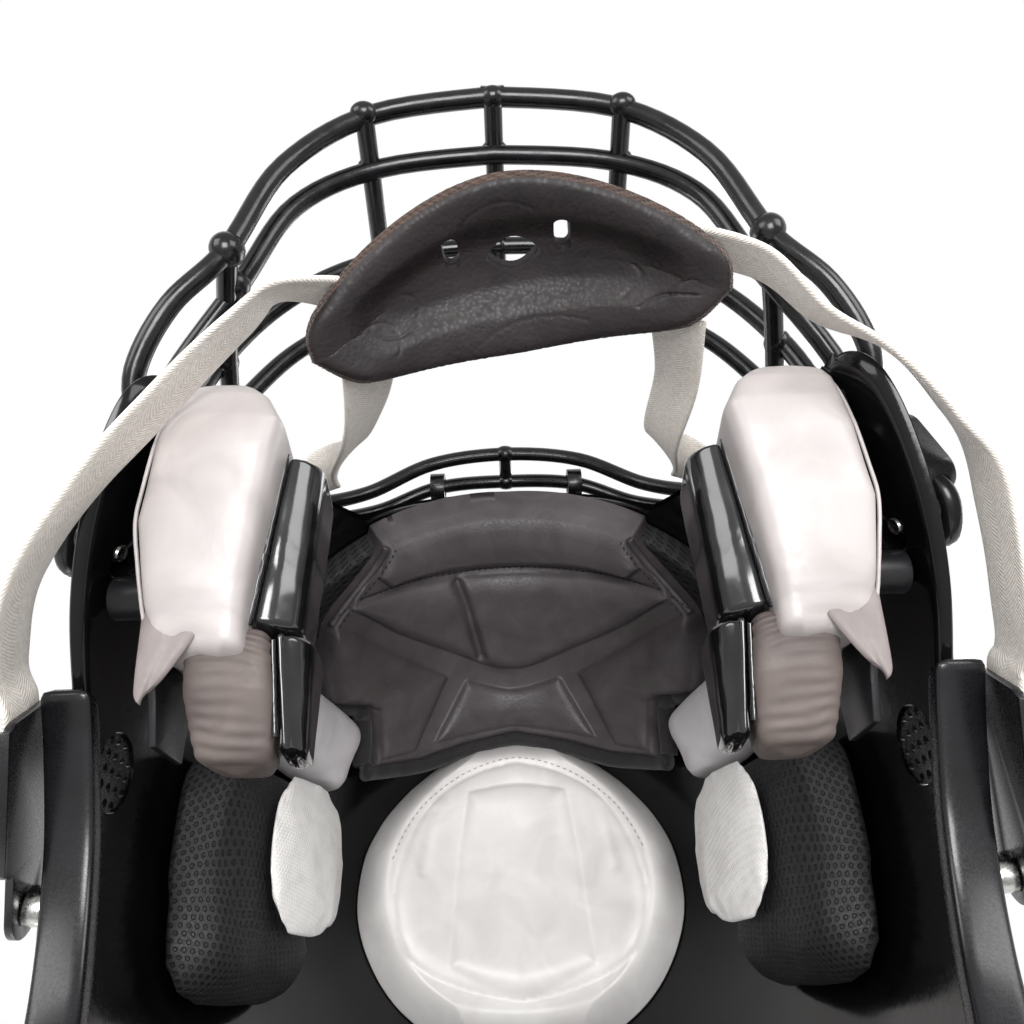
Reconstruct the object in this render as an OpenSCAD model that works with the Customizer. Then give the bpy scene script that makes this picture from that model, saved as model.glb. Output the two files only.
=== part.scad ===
// American football helmet with a welded wire face guard, jaw pads and a strapped chin cup.
// Frame: +Z up, the face looks along -Y, +X is the wearer's left.
// The origin is the seat of the head, midway between the ear holes and at their height.

/* [Shell] */
// Half of the shell's outer width
shell_half_w = 118; // [112:1:126]
// Reach of the shell forward of the ears
shell_front = 143; // [136:1:152]
// Reach of the shell behind the ears
shell_rear = 143; // [136:1:152]
// Height of the crown above the widest level
shell_rise = 148; // [140:1:156]
// Height of the widest level above the ear holes
wide_z = 20; // [14:1:26]
// Wall of the moulded shell
wall = 4; // [3:0.25:5]
// Radius of the ear hole
ear_hole_r = 11; // [9:0.5:12]
// Length of a vent slot in the jaw flap
flap_vent_l = 24; // [14:1:30]
// Width of a vent slot
vent_w = 7; // [5:0.5:9]
// Length of a vent slot in the crown
crown_vent_l = 34; // [20:1:42]

/* [Shell edge] */
// Height of the brow edge at the middle
brow_z = 50; // [44:1:54]
// Lowest point of the jaw flap
flap_z = -97; // [-104:1:-90]
// Foremost point of the jaw flap
flap_y = -91; // [-98:1:-84]
// Height of the edge in the notch behind the ear
notch_z = -31; // [-36:1:-27]
// Height of the rear rim over the neck
neck_z = -62; // [-72:1:-54]
// Width of the moulded rail along the lower side edge
rail_w = 13; // [9:0.5:15]
// Thickness of that rail
rail_t = 7; // [5:0.5:9]

/* [Face guard] */
// Diameter of the coated wire
wire_d = 6.4; // [5:0.2:8]
// Height of the upper brow bar at the middle
bar_top_z = 52; // [48:1:58]
// Height of the lower brow bar at the middle
bar_low_z = 39; // [34:1:44]
// Height of the upper nose bar
nose_top_z = -41; // [-46:1:-34]
// Height of the lower nose bar
nose_low_z = -60; // [-66:1:-54]
// Height of the upper mouth bar
mouth_top_z = -90; // [-94:1:-84]
// Height of the lower mouth bar
mouth_low_z = -106; // [-112:1:-102]
// Reach of the mouth bars forward of the ears
guard_front = 196; // [188:1:206]
// Distance between the upright wires in front of the mouth
upright_gap = 43; // [36:1:52]
// Diameter of a weld bead
bead_d = 10; // [8:0.5:12]

/* [Guard clips] */
// Distance of an upper clip from the middle
clip_x = 32; // [26:1:40]
// Width of an upper clip
clip_w = 6.5; // [5:0.5:9]
// Play between the bar and the upper clip's loop
clip_play = 1.3; // [1.2:0.1:1.6]
// Wall of the upper clip
clip_wall = 2.2; // [1.6:0.1:3]
// Length of the side clip along the wire loop
side_clip_l = 25; // [22:1:28]
// Height of the side clip
side_clip_h = 28; // [26:1:32]
// Thickness of the side clip
side_clip_t = 9; // [7:0.5:12]
// Radius of the release button
button_r = 4.5; // [3.5:0.25:5]
// Travel of the release button
button_travel = 1.5; // [1:0.1:2]
// Radius of the clip screws
screw_r = 2.4; // [2:0.1:3]

/* [Pads] */
// Thickness of the front pad
front_pad_t = 26; // [20:1:32]
// Thickness of the crown pad
crown_pad_t = 32; // [26:1:36]
// Thickness of the side and rear pads
side_pad_t = 28; // [22:1:34]

/* [Chin cup] */
// Half of the cup's width
cup_half_w = 58; // [52:1:64]
// Height of the cup at the middle
cup_h = 56; // [48:1:62]
// Depth of the cup
cup_depth = 24; // [18:1:30]
// Thickness of the cup's shell
cup_wall = 2.4; // [1.8:0.2:3.4]
// Thickness of the cup's foam liner
liner_t = 5; // [3:0.5:7]
// Width of the webbing
strap_w = 17; // [14:1:20]
// Thickness of the webbing
strap_t = 1.8; // [1.4:0.1:2.4]

/* [Buckles] */
// Length of a buckle's frame
buckle_l = 40; // [34:1:46]
// Width of a buckle's frame
buckle_w = 25; // [22:1:30]
// Radius of the lever's pin
pin_r = 1.75; // [1.2:0.05:2.4]
// Running clearance round that pin
pin_play = 0.06; // [0.03:0.01:0.1]
// Length of the lever
lever_l = 27; // [22:1:32]
// Radius of a snap stud
stud_r = 5; // [4:0.25:6.5]

/* [Hidden] */
$fn = 48;

// Powers that round the shell's sections at the crown and at the jaw, between an ellipse and a box
crown_p = 2.06;
jaw_p = 2.36;
// Depth that the sides would reach below the widest level, in front and at the neck
side_drop = 355;
neck_drop = 150;

function unit(v) = v / norm(v);
function mix(a, b, t) = a + (b - a) * t;
function clamp01(t) = min(1, max(0, t));

function power_at(up) = let (t = clamp01((0.12 - up) / 0.62)) mix(crown_p, jaw_p, t * t * (3 - 2 * t));
// Distance from the centre of the shell to its surface along d, drawn in by inset
function rho(d, inset = 0) =
    let (p = power_at(d[2] / norm(d)), h = max(1e-6, norm([d[0], d[1]])),
        w = pow(max(0, d[1] / h), 2),
        b = (d[1] < 0 ? shell_front : shell_rear) - inset,
        c = (d[2] > 0 ? shell_rise : mix(side_drop, neck_drop, w)) - inset)
    pow(pow(abs(d[0]) / (shell_half_w - inset), p) + pow(abs(d[1]) / b, p)
        + pow(abs(d[2]) / c, p), -1 / p);
function on_shell(d, inset = 0) = [0, 0, wide_z] + unit(d) * rho(unit(d), inset);
// Point of the surface seen from the side at y and z, found by closing in on its x
function side_point(y, z, inset = 0, x = 90, steps = 5) =
    steps == 0 ? [x, y, z] :
    let (q = [x, y, z - wide_z], r = norm(q), near = rho(q / r, inset), p = power_at(q[2] / r),
        f = pow(near / r, p), share = pow(x / (shell_half_w - inset), p),
        b = (y < 0 ? shell_front : shell_rear) - inset)
    side_point(y, z, inset, max(2, (shell_half_w - inset)
        * pow(max(0.001, share + (1 - 1 / f) * 0.9), 1 / p)), steps - 1);
function dir_of(q) = unit(q - [0, 0, wide_z]);
// How far forward the shell reaches x to the side of the middle, near its widest level
function front_y(x) = -shell_front * pow(1 - pow(x / shell_half_w, crown_p), 1 / crown_p);
// Direction at azimuth az from the face towards +X and elevation el
function dir_at(az, el) = [sin(az) * cos(el), -cos(az) * cos(el), sin(el)];
// Point at u and v millimetres from the place az, el on the surface, w deeper than inset
function wrap(az, el, roll, u, v, w, inset) =
    let (d0 = dir_at(az, el), e1 = [cos(az), sin(az), 0],
        e2 = [-sin(az) * sin(el), cos(az) * sin(el), cos(el)],
        a = u * cos(roll) - v * sin(roll), b = u * sin(roll) + v * cos(roll),
        n = unit(d0 * rho(d0, inset) + e1 * a + e2 * b))
    [0, 0, wide_z] + n * (rho(n, inset) - w);

// Smooth curve through pts, with k steps in each span
function spline(pts, k) =
    let (n = len(pts) - 1, at = function (i) pts[max(0, min(n, i))])
    [for (i = [0 : n - 1]) for (j = [0 : k - 1])
        let (t = j / k, a = at(i - 1), b = at(i), c = at(i + 1), d = at(i + 2))
        0.5 * (2 * b + (c - a) * t + (2 * a - 5 * b + 4 * c - d) * t * t
            + (3 * b - a - 3 * c + d) * t * t * t),
    pts[n]];

function mean(r) = [for (a = [0 : 2]) [for (q = r) q[a]] * [for (q = r) 1] / len(r)];
function turned(faces, flip) = flip ? [for (f = faces) [f[2], f[1], f[0]]] : faces;
function quad(a, b, c, d) = [[a, b, c], [a, c, d]];

// Solid between two grids of points with the same rows and columns
module slab(top, bottom) {
    rows = len(top);
    cols = len(top[0]);
    off = rows * cols;
    i = floor(rows / 2);
    j = floor(cols / 2);
    flip = cross(top[i][j] - top[i][j - 1], top[i][j] - top[i - 1][j]) * (top[i][j] - bottom[i][j]) > 0;
    pts = concat([for (r = top) each r], [for (r = bottom) each r]);
    rim = concat([for (c = [0 : cols - 1]) c], [for (r = [1 : rows - 1]) r * cols + cols - 1],
        [for (c = [cols - 2 : -1 : 0]) (rows - 1) * cols + c], [for (r = [rows - 2 : -1 : 1]) r * cols]);
    faces = concat(
        [for (r = [0 : rows - 2]) for (c = [0 : cols - 2])
            each quad(r * cols + c, r * cols + c + 1, (r + 1) * cols + c + 1, (r + 1) * cols + c)],
        [for (r = [0 : rows - 2]) for (c = [0 : cols - 2])
            each quad(off + r * cols + c, off + (r + 1) * cols + c,
                off + (r + 1) * cols + c + 1, off + r * cols + c + 1)],
        [for (i = [0 : len(rim) - 1]) let (a = rim[i], b = rim[(i + 1) % len(rim)])
            each quad(b, a, off + a, off + b)]);
    polyhedron(pts, turned(faces, flip));
}

// Solid through closed rings of equally many points, with a middle point at each end
module loft(rings) {
    n = len(rings[0]);
    m = len(rings);
    r0 = rings[0];
    around = mean([for (i = [0 : n - 1]) cross(r0[i] - mean(r0), r0[(i + 1) % n] - mean(r0))]);
    flip = around * (mean(rings[1]) - mean(r0)) > 0;
    pts = concat([for (r = rings) each r], [mean(r0), mean(rings[m - 1])]);
    faces = concat(
        [for (i = [0 : m - 2]) for (j = [0 : n - 1]) let (k = (j + 1) % n)
            each quad(i * n + j, i * n + k, (i + 1) * n + k, (i + 1) * n + j)],
        [for (j = [0 : n - 1]) [m * n, (j + 1) % n, j]],
        [for (j = [0 : n - 1]) [m * n + 1, (m - 1) * n + j, (m - 1) * n + (j + 1) % n]]);
    polyhedron(pts, turned(faces, flip));
}

// Rings of a section swept along a path, its width kept close to the side given at each point
function sweep_rings(path, section, side) =
    let (n = len(path))
    [for (i = [0 : n - 1])
        let (t = unit(path[min(n - 1, i + 1)] - path[max(0, i - 1)]),
            s0 = is_num(side[0]) ? side : side[i],
            s = unit(s0 - t * (s0 * t)), k = cross(t, s))
        [for (q = section) path[i] + s * q[0] + k * q[1]]];
function round_section(r, n) = [for (i = [0 : n - 1]) r * [cos(360 * i / n), sin(360 * i / n)]];

// A bar of the guard through the points of its left half, carried over to the right
function full_route(half, k) =
    let (right = [for (i = [len(half) - 1 : -1 : 1]) [-half[i][0], half[i][1], half[i][2]]])
    spline(concat(right, half), k);
module wire(route) {
    loft(sweep_rings(route, round_section(wire_d / 2, 8), [0.31, 0.17, 1]));
}

// Both sides of the helmet, from a form drawn at +X
module both_sides() {
    children();
    mirror([1, 0, 0]) children();
}
module on_side(s) {
    if (s > 0) children();
    else mirror([1, 0, 0]) children();
}

// Edge of the shell on its left, from the temple round the jaw flap to the neck
edge_side = [[-80, -18], [-75, -46], [flap_y + 5, -75], [flap_y, flap_z + 9], [flap_y + 11, flap_z],
    [-55, flap_z + 11], [-29, flap_z + 28], [0, notch_z - 14], [27, notch_z], [55, notch_z + 1],
    [85, notch_z - 13]];
edge_dirs = concat([for (q = edge_side) dir_of(side_point(q[0], q[1]))],
    [dir_of([shell_half_w * 0.525, shell_rear * 0.783, neck_z + 4])]);
edge_curve = [for (d = spline(edge_dirs, 3)) unit(d)];
brow_dir = dir_of([0, front_y(0), brow_z]);
neck_dir = dir_of([0, shell_rear * 0.888, neck_z]);
rib_n = len(edge_curve);
// Edge over the brow: how far each place is to the side and above or below the middle
brow_edge = [[0, 0], [27, -2], [52, -9], [74, -14], [90, -31], [99, -50]];
brow_curve = spline(concat([for (q = brow_edge) dir_of([q[0], front_y(q[0]), brow_z + q[1]])],
    [edge_dirs[0]]), 2);
col_n = 12;
brow_ang = atan2(brow_dir[2], -brow_dir[1]);
neck_ang = 180 + atan2(-neck_dir[2], neck_dir[1]);
// Direction of the shell grid at rib i and at s from the middle to the edge
function rib_dir(i, s) =
    let (t = i / (rib_n - 1), ang = mix(brow_ang, neck_ang, t), m = [0, -cos(ang), sin(ang)],
        e = edge_curve[i], om = acos(m * e), k = abs(s),
        arc = m * sin((1 - k) * om) / sin(om) + e * sin(k * om) / sin(om),
        q = mix(arc, brow_curve[round(k * col_n)], pow(1 - clamp01(t * 4), 2)))
    unit([sign(s) * q[0], q[1], q[2]]);
function shell_grid(inset) =
    [for (i = [0 : rib_n - 1]) [for (j = [-col_n : col_n]) on_shell(rib_dir(i, j / col_n), inset)]];

module slot_cut(l, w, depth) {
    linear_extrude(height = depth, center = true) {
        translate([-l / 2 + w / 2, 0]) circle(d = w);
        translate([l / 2 - w / 2, 0]) circle(d = w);
        square([l - w, w], center = true);
    }
}
// Turns +Z to the outward direction at az, el and goes to the shell's surface there
module at_surface(az, el, inset = 0) {
    translate(on_shell(dir_at(az, el), inset)) rotate([0, 90 - el, az - 90]) children();
}
ear_y = 2;
ear_z = -27;
cut = 30;
seat = 0.7;
pad_seat = 1.5;
// Azimuth and elevation of the crown's vents
vent_places = [[44, 49], [128, 70], [150, 38]];
flap_vent = [64, -33];

module shell() {
    color([0.03, 0.03, 0.035]) difference() {
        slab(shell_grid(0), shell_grid(wall));
        both_sides() {
            translate([shell_half_w, ear_y, ear_z]) rotate([0, 90, 0])
                cylinder(r = ear_hole_r, h = cut, center = true);
            at_surface(flap_vent[0], flap_vent[1]) rotate([0, 0, 60]) slot_cut(flap_vent_l, vent_w, cut);
            for (v = vent_places) at_surface(v[0], v[1]) slot_cut(crown_vent_l, vent_w, cut);
            at_surface(clip_az, clip_el) cylinder(r = screw_r + 0.3, h = cut, center = true);
            receiver_frame() for (x = [-1, 1]) translate([x * receiver_screw_x, 0, 0])
                cylinder(r = screw_r + 0.3, h = cut, center = true);
        }
    }
}

// Screen that closes the ear hole
screen_t = 1.6;
screen_w = 1.6;
module ear_screen() {
    color([0.05, 0.05, 0.05]) translate([side_point(ear_y, ear_z)[0] - 3, ear_y, ear_z]) rotate([0, 90, 0])
        difference() {
            cylinder(r = ear_hole_r - 0.3, h = screen_t);
            for (i = [-2 : 2]) for (j = [-2 : 2]) if (abs(i) + abs(j) < 4)
                translate([i * 2.6 * screen_w, j * 2.6 * screen_w, -1]) cylinder(r = screen_w * 0.8, h = cut);
        }
}
module ear_screen_left() { on_side(1) ear_screen(); }
module ear_screen_right() { on_side(-1) ear_screen(); }

// Rail along the lower side edge, from behind the jaw flap to behind the ear
rail_first = 18;
rail_last = 28;
rail_inset = rail_w / 2 - 4.5;
rail_path = [for (i = [rail_first : rail_last]) let (q = on_shell(edge_curve[i], rail_inset))
    q - [0, 0, (rail_t / 2 + seat) * 1.38]];
rail_section = [for (i = [0 : 11]) let (c = cos(30 * i), s = sin(30 * i))
    [sign(c) * pow(abs(c), 0.5) * rail_w / 2, sign(s) * pow(abs(s), 0.5) * rail_t / 2]];
module side_rails() {
    color([0.04, 0.04, 0.045]) both_sides()
        loft(sweep_rings(rail_path, rail_section, [1, 0, 0]));
}

// Patch that lies on the outside of the shell, thinner at its rim
module outer_patch(az, el, a, b, t, nu, nv) {
    pt = function (i, j, w) let (u = 2 * i / nu - 1, v = 2 * j / nv - 1,
        e = 1 - 0.35 * pow(max(abs(u), abs(v)), 6))
        wrap(az, el, 0, a * u * (1 - 0.06 * v * v), b * v, w * e, -seat);
    slab([for (i = [0 : nu]) [for (j = [0 : nv]) pt(i, j, -t)]],
        [for (i = [0 : nu]) [for (j = [0 : nv]) pt(i, j, 0)]]);
}
brow_bumper_w = 46;
brow_bumper_h = 24;
brow_bumper_t = 3;
neck_bumper_w = 96;
neck_bumper_h = 26;
neck_bumper_t = 5;
module brow_bumper() {
    color([0.06, 0.06, 0.06])
        outer_patch(0, brow_ang + 10, brow_bumper_w / 2, brow_bumper_h / 2, brow_bumper_t, 8, 5);
}
module neck_bumper() {
    color([0.06, 0.06, 0.06])
        outer_patch(180, 186 - neck_ang, neck_bumper_w / 2, neck_bumper_h / 2, neck_bumper_t, 12, 5);
}

// Routes of the guard's bars, from the middle to the wearer's left
front = -guard_front;
// A place given by how far it lies outside the shell's widest side
function beside(x, y, z) = [shell_half_w + x, y, z];
clip_point = [clip_x, -145, bar_top_z - 3];
ball = [82, -134, mouth_low_z + 9];
// The side loop stands on the flap: its frame has +X along it to the rear and +Z outward
loop_half = 9;
loop_y = -64;
loop_z = -64;
loop_up = 6.4;
loop_dir = unit(side_point(loop_y + 14, loop_z) - side_point(loop_y - 14, loop_z));
out_dir = unit(cross(loop_dir, side_point(loop_y, loop_z + 8) - side_point(loop_y, loop_z - 8)));
up_dir = cross(out_dir, loop_dir);
loop_mid = side_point(loop_y, loop_z) + out_dir * loop_up;
loop_at = function (x, z) loop_mid + loop_dir * x + up_dir * z;
brow_top = [[0, -149.5, bar_top_z], clip_point, [60, -133, bar_top_z - 3], beside(-34, -118, 32),
    beside(-18, -104, 4), beside(-9, -94, -30), loop_at(-19, loop_half)];
brow_low = [[0, -156, bar_low_z], [34, -151.5, bar_low_z], [63, -135, bar_low_z - 2],
    beside(-32, -119.5, 21), beside(-17, -104, -9), beside(-9, -94, -30)];
nose_top = [[0, -172, nose_top_z], [45, -166, nose_top_z], [75, -148, nose_top_z],
    beside(-23, -121, nose_top_z + 1), beside(-9, -89.5, nose_top_z - 1)];
nose_low = [[0, -179, nose_low_z], [45, -173, nose_low_z], [76, -153, nose_low_z],
    beside(-21, -123, nose_low_z + 2), loop_at(-19, loop_half)];
mouth_loop = [[-4, front - 2, mouth_low_z], [40, front + 5, mouth_low_z + 1], [68, -168, mouth_low_z + 4],
    ball, beside(-21, -115, -93), beside(-11, -98, -84), loop_at(-19, -loop_half), loop_at(-8, -loop_half),
    loop_at(4, -loop_half), loop_at(15.5, -loop_half), loop_at(22, 0), loop_at(15.5, loop_half),
    loop_at(4, loop_half), loop_at(-8, loop_half), loop_at(-19, loop_half), beside(-12, -104, -68),
    [83, -137, -82], [67, -166, mouth_top_z + 1], [39, front + 12, mouth_top_z], [-4, front + 6, mouth_top_z]];
side_upright = [ball, beside(-28, -129, -70), beside(-22, -119, nose_top_z), beside(-19, -107, -5)];
uprights = [for (x = [0, upright_gap]) let (y = x == 0 ? 0 : 7)
    [[x, -172 + y * 0.9, nose_top_z + 1], [x, -179 + y * 0.9, nose_low_z],
     [x, front + 4 + y * 1.1, mouth_top_z], [x, front - 1 + y, mouth_low_z]]];
strut = [[0, -149.5, bar_top_z], [0, -156, bar_low_z]];
beads = [ball, [83.8, -135, -83.2], beside(-22, -119, nose_top_z), beside(-24, -126, nose_low_z + 2),
    beside(-9, -94, -30), beside(-19, -107, -5)];

// Steps in each bend of a wire
bend_n = 2;
module bead(q) {
    hull() {
        translate(q - [0, 0, 1]) sphere(d = bead_d, $fn = 8);
        translate(q + [0, 0, 1]) sphere(d = bead_d, $fn = 8);
    }
}
module face_guard() {
    color([0.02, 0.02, 0.025]) {
        wire(full_route(brow_top, bend_n));
        wire(full_route(brow_low, bend_n));
        wire(full_route(nose_top, bend_n));
        wire(full_route(nose_low, bend_n));
        wire(spline(uprights[0], bend_n));
        wire(strut);
        for (s = [0, 1]) mirror([s, 0, 0]) {
            wire(spline(mouth_loop, bend_n));
            wire(spline(side_upright, bend_n));
            wire(spline(uprights[1], bend_n));
            for (q = beads) bead(q);
        }
    }
}

// Upper clips: a loop round the top bar and a tab that is screwed to the shell
clip_az = atan2(clip_x, 136);
clip_el = 23;
clip_r = wire_d / 2 + clip_play + clip_wall;
section_y = function (z, inset) let (p = crown_p) -(shell_front - inset)
    * pow(1 - pow(clip_x / (shell_half_w - inset), p) - pow((z - wide_z) / (shell_rise - inset), p), 1 / p);
tab_t = 3.2;
tab_top = 84;
module upper_clip() {
    color([0.05, 0.05, 0.055]) translate([clip_x, 0, 0]) rotate([90, 0, 90]) difference() {
        linear_extrude(height = clip_w, center = true) difference() {
            union() {
                translate([clip_point[1], clip_point[2]]) circle(r = clip_r);
                polygon(concat(
                    [for (i = [0 : 6]) let (z = mix(clip_point[2], tab_top, i / 6)) [section_y(z, 0) - seat - 0.6, z]],
                    [for (i = [6 : -1 : 0]) let (z = mix(clip_point[2], tab_top, i / 6))
                        [section_y(z, 0) - seat - 0.6 - tab_t, z]]));
            }
            translate([clip_point[1], clip_point[2]]) circle(r = wire_d / 2 + clip_play);
        }
        rotate([-90, 0, 0]) rotate([0, 0, -90]) translate([-clip_x, 0, 0])
            at_surface(clip_az, clip_el) cylinder(r = screw_r + 0.2, h = cut, center = true);
    }
}
module upper_clip_left() { on_side(1) upper_clip(); }
module upper_clip_right() { on_side(-1) upper_clip(); }

receiver_t = 1.8;
receiver_out = 0.3 - loop_up;
module receiver_frame() {
    multmatrix([for (a = [0 : 2]) [loop_dir[a], up_dir[a], out_dir[a], loop_mid[a]]]) children();
}
receiver_l = 40;
receiver_h = 24;
receiver_screw_x = 15;
latch_r = 3;
module rounded(l, h, r) {
    translate([-l / 2 + r, -h / 2]) square([l - 2 * r, h]);
    translate([-l / 2, -h / 2 + r]) square([l, h - 2 * r]);
    for (x = [-1, 1]) for (y = [-1, 1]) translate([x * (l / 2 - r), y * (h / 2 - r)]) circle(r = r);
}
sunk_r = 3.8;
sunk_h = 0.9;
clip_in = receiver_out + receiver_t + 0.3;
clip_out = clip_in + side_clip_t;
module side_receiver() {
    color([0.05, 0.05, 0.055]) receiver_frame() translate([0, 0, receiver_out]) difference() {
        linear_extrude(height = receiver_t) rounded(receiver_l, receiver_h, 5);
        for (x = [-1, 1]) translate([x * receiver_screw_x, 0, 0]) {
            translate([0, 0, -1]) cylinder(r = screw_r + 0.2, h = receiver_t + 2);
            translate([0, 0, receiver_t - sunk_h - 0.1]) cylinder(r = sunk_r + 0.2, h = receiver_t);
        }
        translate([0, 0, -1]) cylinder(r = latch_r + 0.3, h = receiver_t + 2);
        rotate([0, 0, 214]) translate([0, -latch_r - 0.2, -1]) cube([receiver_l, 2 * latch_r + 0.4, receiver_t + 2]);
    }
}
module side_receiver_left() { on_side(1) side_receiver(); }
module side_receiver_right() { on_side(-1) side_receiver(); }
module side_clip() {
    color([0.05, 0.05, 0.055]) receiver_frame() {
        difference() {
            translate([0, 0, clip_in]) linear_extrude(height = clip_out - clip_in)
                rounded(side_clip_l, side_clip_h, 6);
            for (y = [-1, 1]) translate([-cut, y * loop_half, 0]) rotate([0, 90, 0])
                cylinder(r = wire_d / 2 + 0.6, h = 2 * cut);
            translate([0, 0, clip_in + 2.5]) cylinder(r = button_r + 0.06, h = cut);
        }
        translate([0, 0, receiver_out + 0.3]) cylinder(r = latch_r, h = clip_in - receiver_out);
    }
}
module side_clip_left() { on_side(1) side_clip(); }
module side_clip_right() { on_side(-1) side_clip(); }
module release_button() {
    color([0.35, 0.36, 0.38]) receiver_frame() {
        translate([0, 0, clip_in + 2.5 + button_travel + 0.3])
            cylinder(r = button_r, h = clip_out - clip_in - 2.5);
    }
}
module release_button_left() { on_side(1) release_button(); }
module release_button_right() { on_side(-1) release_button(); }

screw_head_h = 1.8;
module clip_screws() {
    color([0.7, 0.7, 0.72]) both_sides() {
        at_surface(clip_az, clip_el, -seat - 0.6 - tab_t - 0.4) {
            cylinder(r = screw_r * 1.9, h = screw_head_h);
            translate([0, 0, -9.8]) cylinder(r = screw_r, h = 9.8);
        }
        receiver_frame() for (x = [-1, 1]) translate([x * receiver_screw_x, 0, receiver_out]) {
            translate([0, 0, receiver_t - sunk_h]) cylinder(r = sunk_r, h = sunk_h);
            translate([0, 0, -6]) cylinder(r = screw_r, h = 6 + receiver_t - sunk_h);
        }
    }
}

// A stitched cushion laid on the inside of the shell: flat back, tucked sides and a crowned face.
// a and b are half its width and height there, m squares its corners and taper widens its top.
pad_profile = [[0.5, 0], [0.93, 0], [1, 0.2], [1, 0.55], [0.94, 0.84], [0.74, 0.96], [0.4, 1]];
pad_n = 24;
function signed_pow(x, e) = sign(x) * pow(abs(x), e);
module cushion(az, el, roll, a, b, t, m, taper = 0, tuck = 0.05, lift = 0) {
    ring = function (r, w) [for (i = [0 : pad_n - 1])
        let (c = signed_pow(cos(360 * i / pad_n), 2 / m), s = signed_pow(sin(360 * i / pad_n), 2 / m),
            k = r * (1 - tuck * (1 - abs(sin(720 * i / pad_n)))))
        wrap(az, el, roll, a * c * k * (1 + taper * s), b * s * k, lift + w * (t - lift), wall + pad_seat)];
    loft([for (q = pad_profile) ring(q[0], q[1])]);
}
leather = [0.09, 0.09, 0.095];
white = [0.9, 0.89, 0.87];
mesh = [0.05, 0.05, 0.05];
pad_grey = [0.78, 0.78, 0.79];
module front_pad_band() { color(leather) cushion(0, 18.5, 0, 92, 15, front_pad_t * 0.85, 6, 0.06); }
module front_pad_lens() { color(leather) cushion(0, 37, 0, 92, 26, front_pad_t, 2.4); }
module front_pad_sides() { color(leather) both_sides() cushion(45, 53.5, 24, 25, 21, front_pad_t, 3.4); }
module front_pad_centre() { color(leather) cushion(0, 62, 0, 42, 17, front_pad_t, 4, 0.12, 0.12); }
module crown_pad() { color(white) cushion(0, 91.5, 0, 76, 50, crown_pad_t, 2.3, 0.2); }
module crown_side_pad() { color(pad_grey) cushion(67, 27, 0, 16, 29, side_pad_t, 5); }
module crown_side_pad_left() { on_side(1) crown_side_pad(); }
module crown_side_pad_right() { on_side(-1) crown_side_pad(); }
module mesh_pad() { color(mesh) cushion(101, 14, 0, 43, 45, side_pad_t * 0.9, 4); }
module mesh_pad_left() { on_side(1) mesh_pad(); }
module mesh_pad_right() { on_side(-1) mesh_pad(); }
module white_oval() {
    color(white) cushion(88, 24, 0, 19, 34, side_pad_t + 5, 2.6, 0, 0, side_pad_t * 0.9 + 1);
}
module white_oval_left() { on_side(1) white_oval(); }
module white_oval_right() { on_side(-1) white_oval(); }
module rear_pad_upper() { color(mesh) cushion(180, 42, 0, 46, 30, side_pad_t, 4); }
module rear_pad_lower() { color(mesh) cushion(180, -6, 0, 42, 24, side_pad_t, 4, 0, 0.05, -0.8); }

// Jaw pads hang on a backing plate whose posts reach the flap
plate_t = 2.2;
post_r = 6;
jaw_x = 92;
// y, then the inner x, lowest z, highest z and shrink of each section
jaw_sections = [[-85, 66, -89, -66, 0.6], [-83, 65, -89, -66, 1], [-74, 63.5, -91, -46, 1],
    [-60, 65.5, -87, -36, 1], [-42, 69.5, -79, -32, 1], [-26, 73.8, -72, -30, 1], [-18, 75.4, -68, -30, 0.98],
    [-15, 71, -63, -30, 0.9], [-4, 70.5, -58, -30, 0.86], [5, 71, -50, -28, 0.84], [9, 72, -46, -30, 0.6]];
pad_outer = wall + seat + plate_t + seat;
function jaw_out(y, z) = min(jaw_x, side_point(y, z, pad_outer)[0] - 0.4);
posts = [[-70, -72], [-44, -44], [-36, -60]];
module jaw_plate() {
    ys = [for (i = [0 : 8]) mix(-80, 2, i / 8)];
    low = function (y) lookup(y, [[-80, -86], [-60, -84], [-30, -70], [0, -50]]);
    high = function (y) lookup(y, [[-80, -66], [-70, -46], [-50, -36], [2, -32]]);
    grid = function (w) [for (y = ys) [for (j = [0 : 4]) let (z = mix(low(y), high(y), j / 4))
        [jaw_out(y, z) + seat + w, y, z]]];
    color([0.25, 0.25, 0.26]) {
        slab(grid(0), grid(plate_t));
        for (q = posts) let (x0 = jaw_out(q[0], q[1]) + seat + plate_t / 2,
            x1 = side_point(q[0], q[1], wall)[0] - post_r * 0.45)
            if (x1 > x0) translate([x0, q[0], q[1]]) rotate([0, 90, 0]) cylinder(r = post_r, h = x1 - x0);
    }
}
module jaw_plate_left() { on_side(1) jaw_plate(); }
module jaw_plate_right() { on_side(-1) jaw_plate(); }
lobe_outer = 90;
function jaw_ring(q, x_in, outer_max, m) = [for (i = [0 : 19])
    let (c = signed_pow(cos(18 * i), 2 / m), s = signed_pow(sin(18 * i), 2 / m),
        z = mix(q[2], q[3], 0.5 + 0.5 * s * q[4]), x_out = min(outer_max, jaw_out(q[0], z)),
        mid = (x_in + x_out) / 2)
    [mid + c * (x_out - x_in) / 2 * q[4], q[0], z]];
module jaw_pad() {
    color(white) loft([for (q = jaw_sections)
        jaw_ring(q, q[1], q[0] < -16 ? jaw_x : lobe_outer, 6)]);
}
module jaw_pad_left() { on_side(1) jaw_pad(); }
module jaw_pad_right() { on_side(-1) jaw_pad(); }
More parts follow.
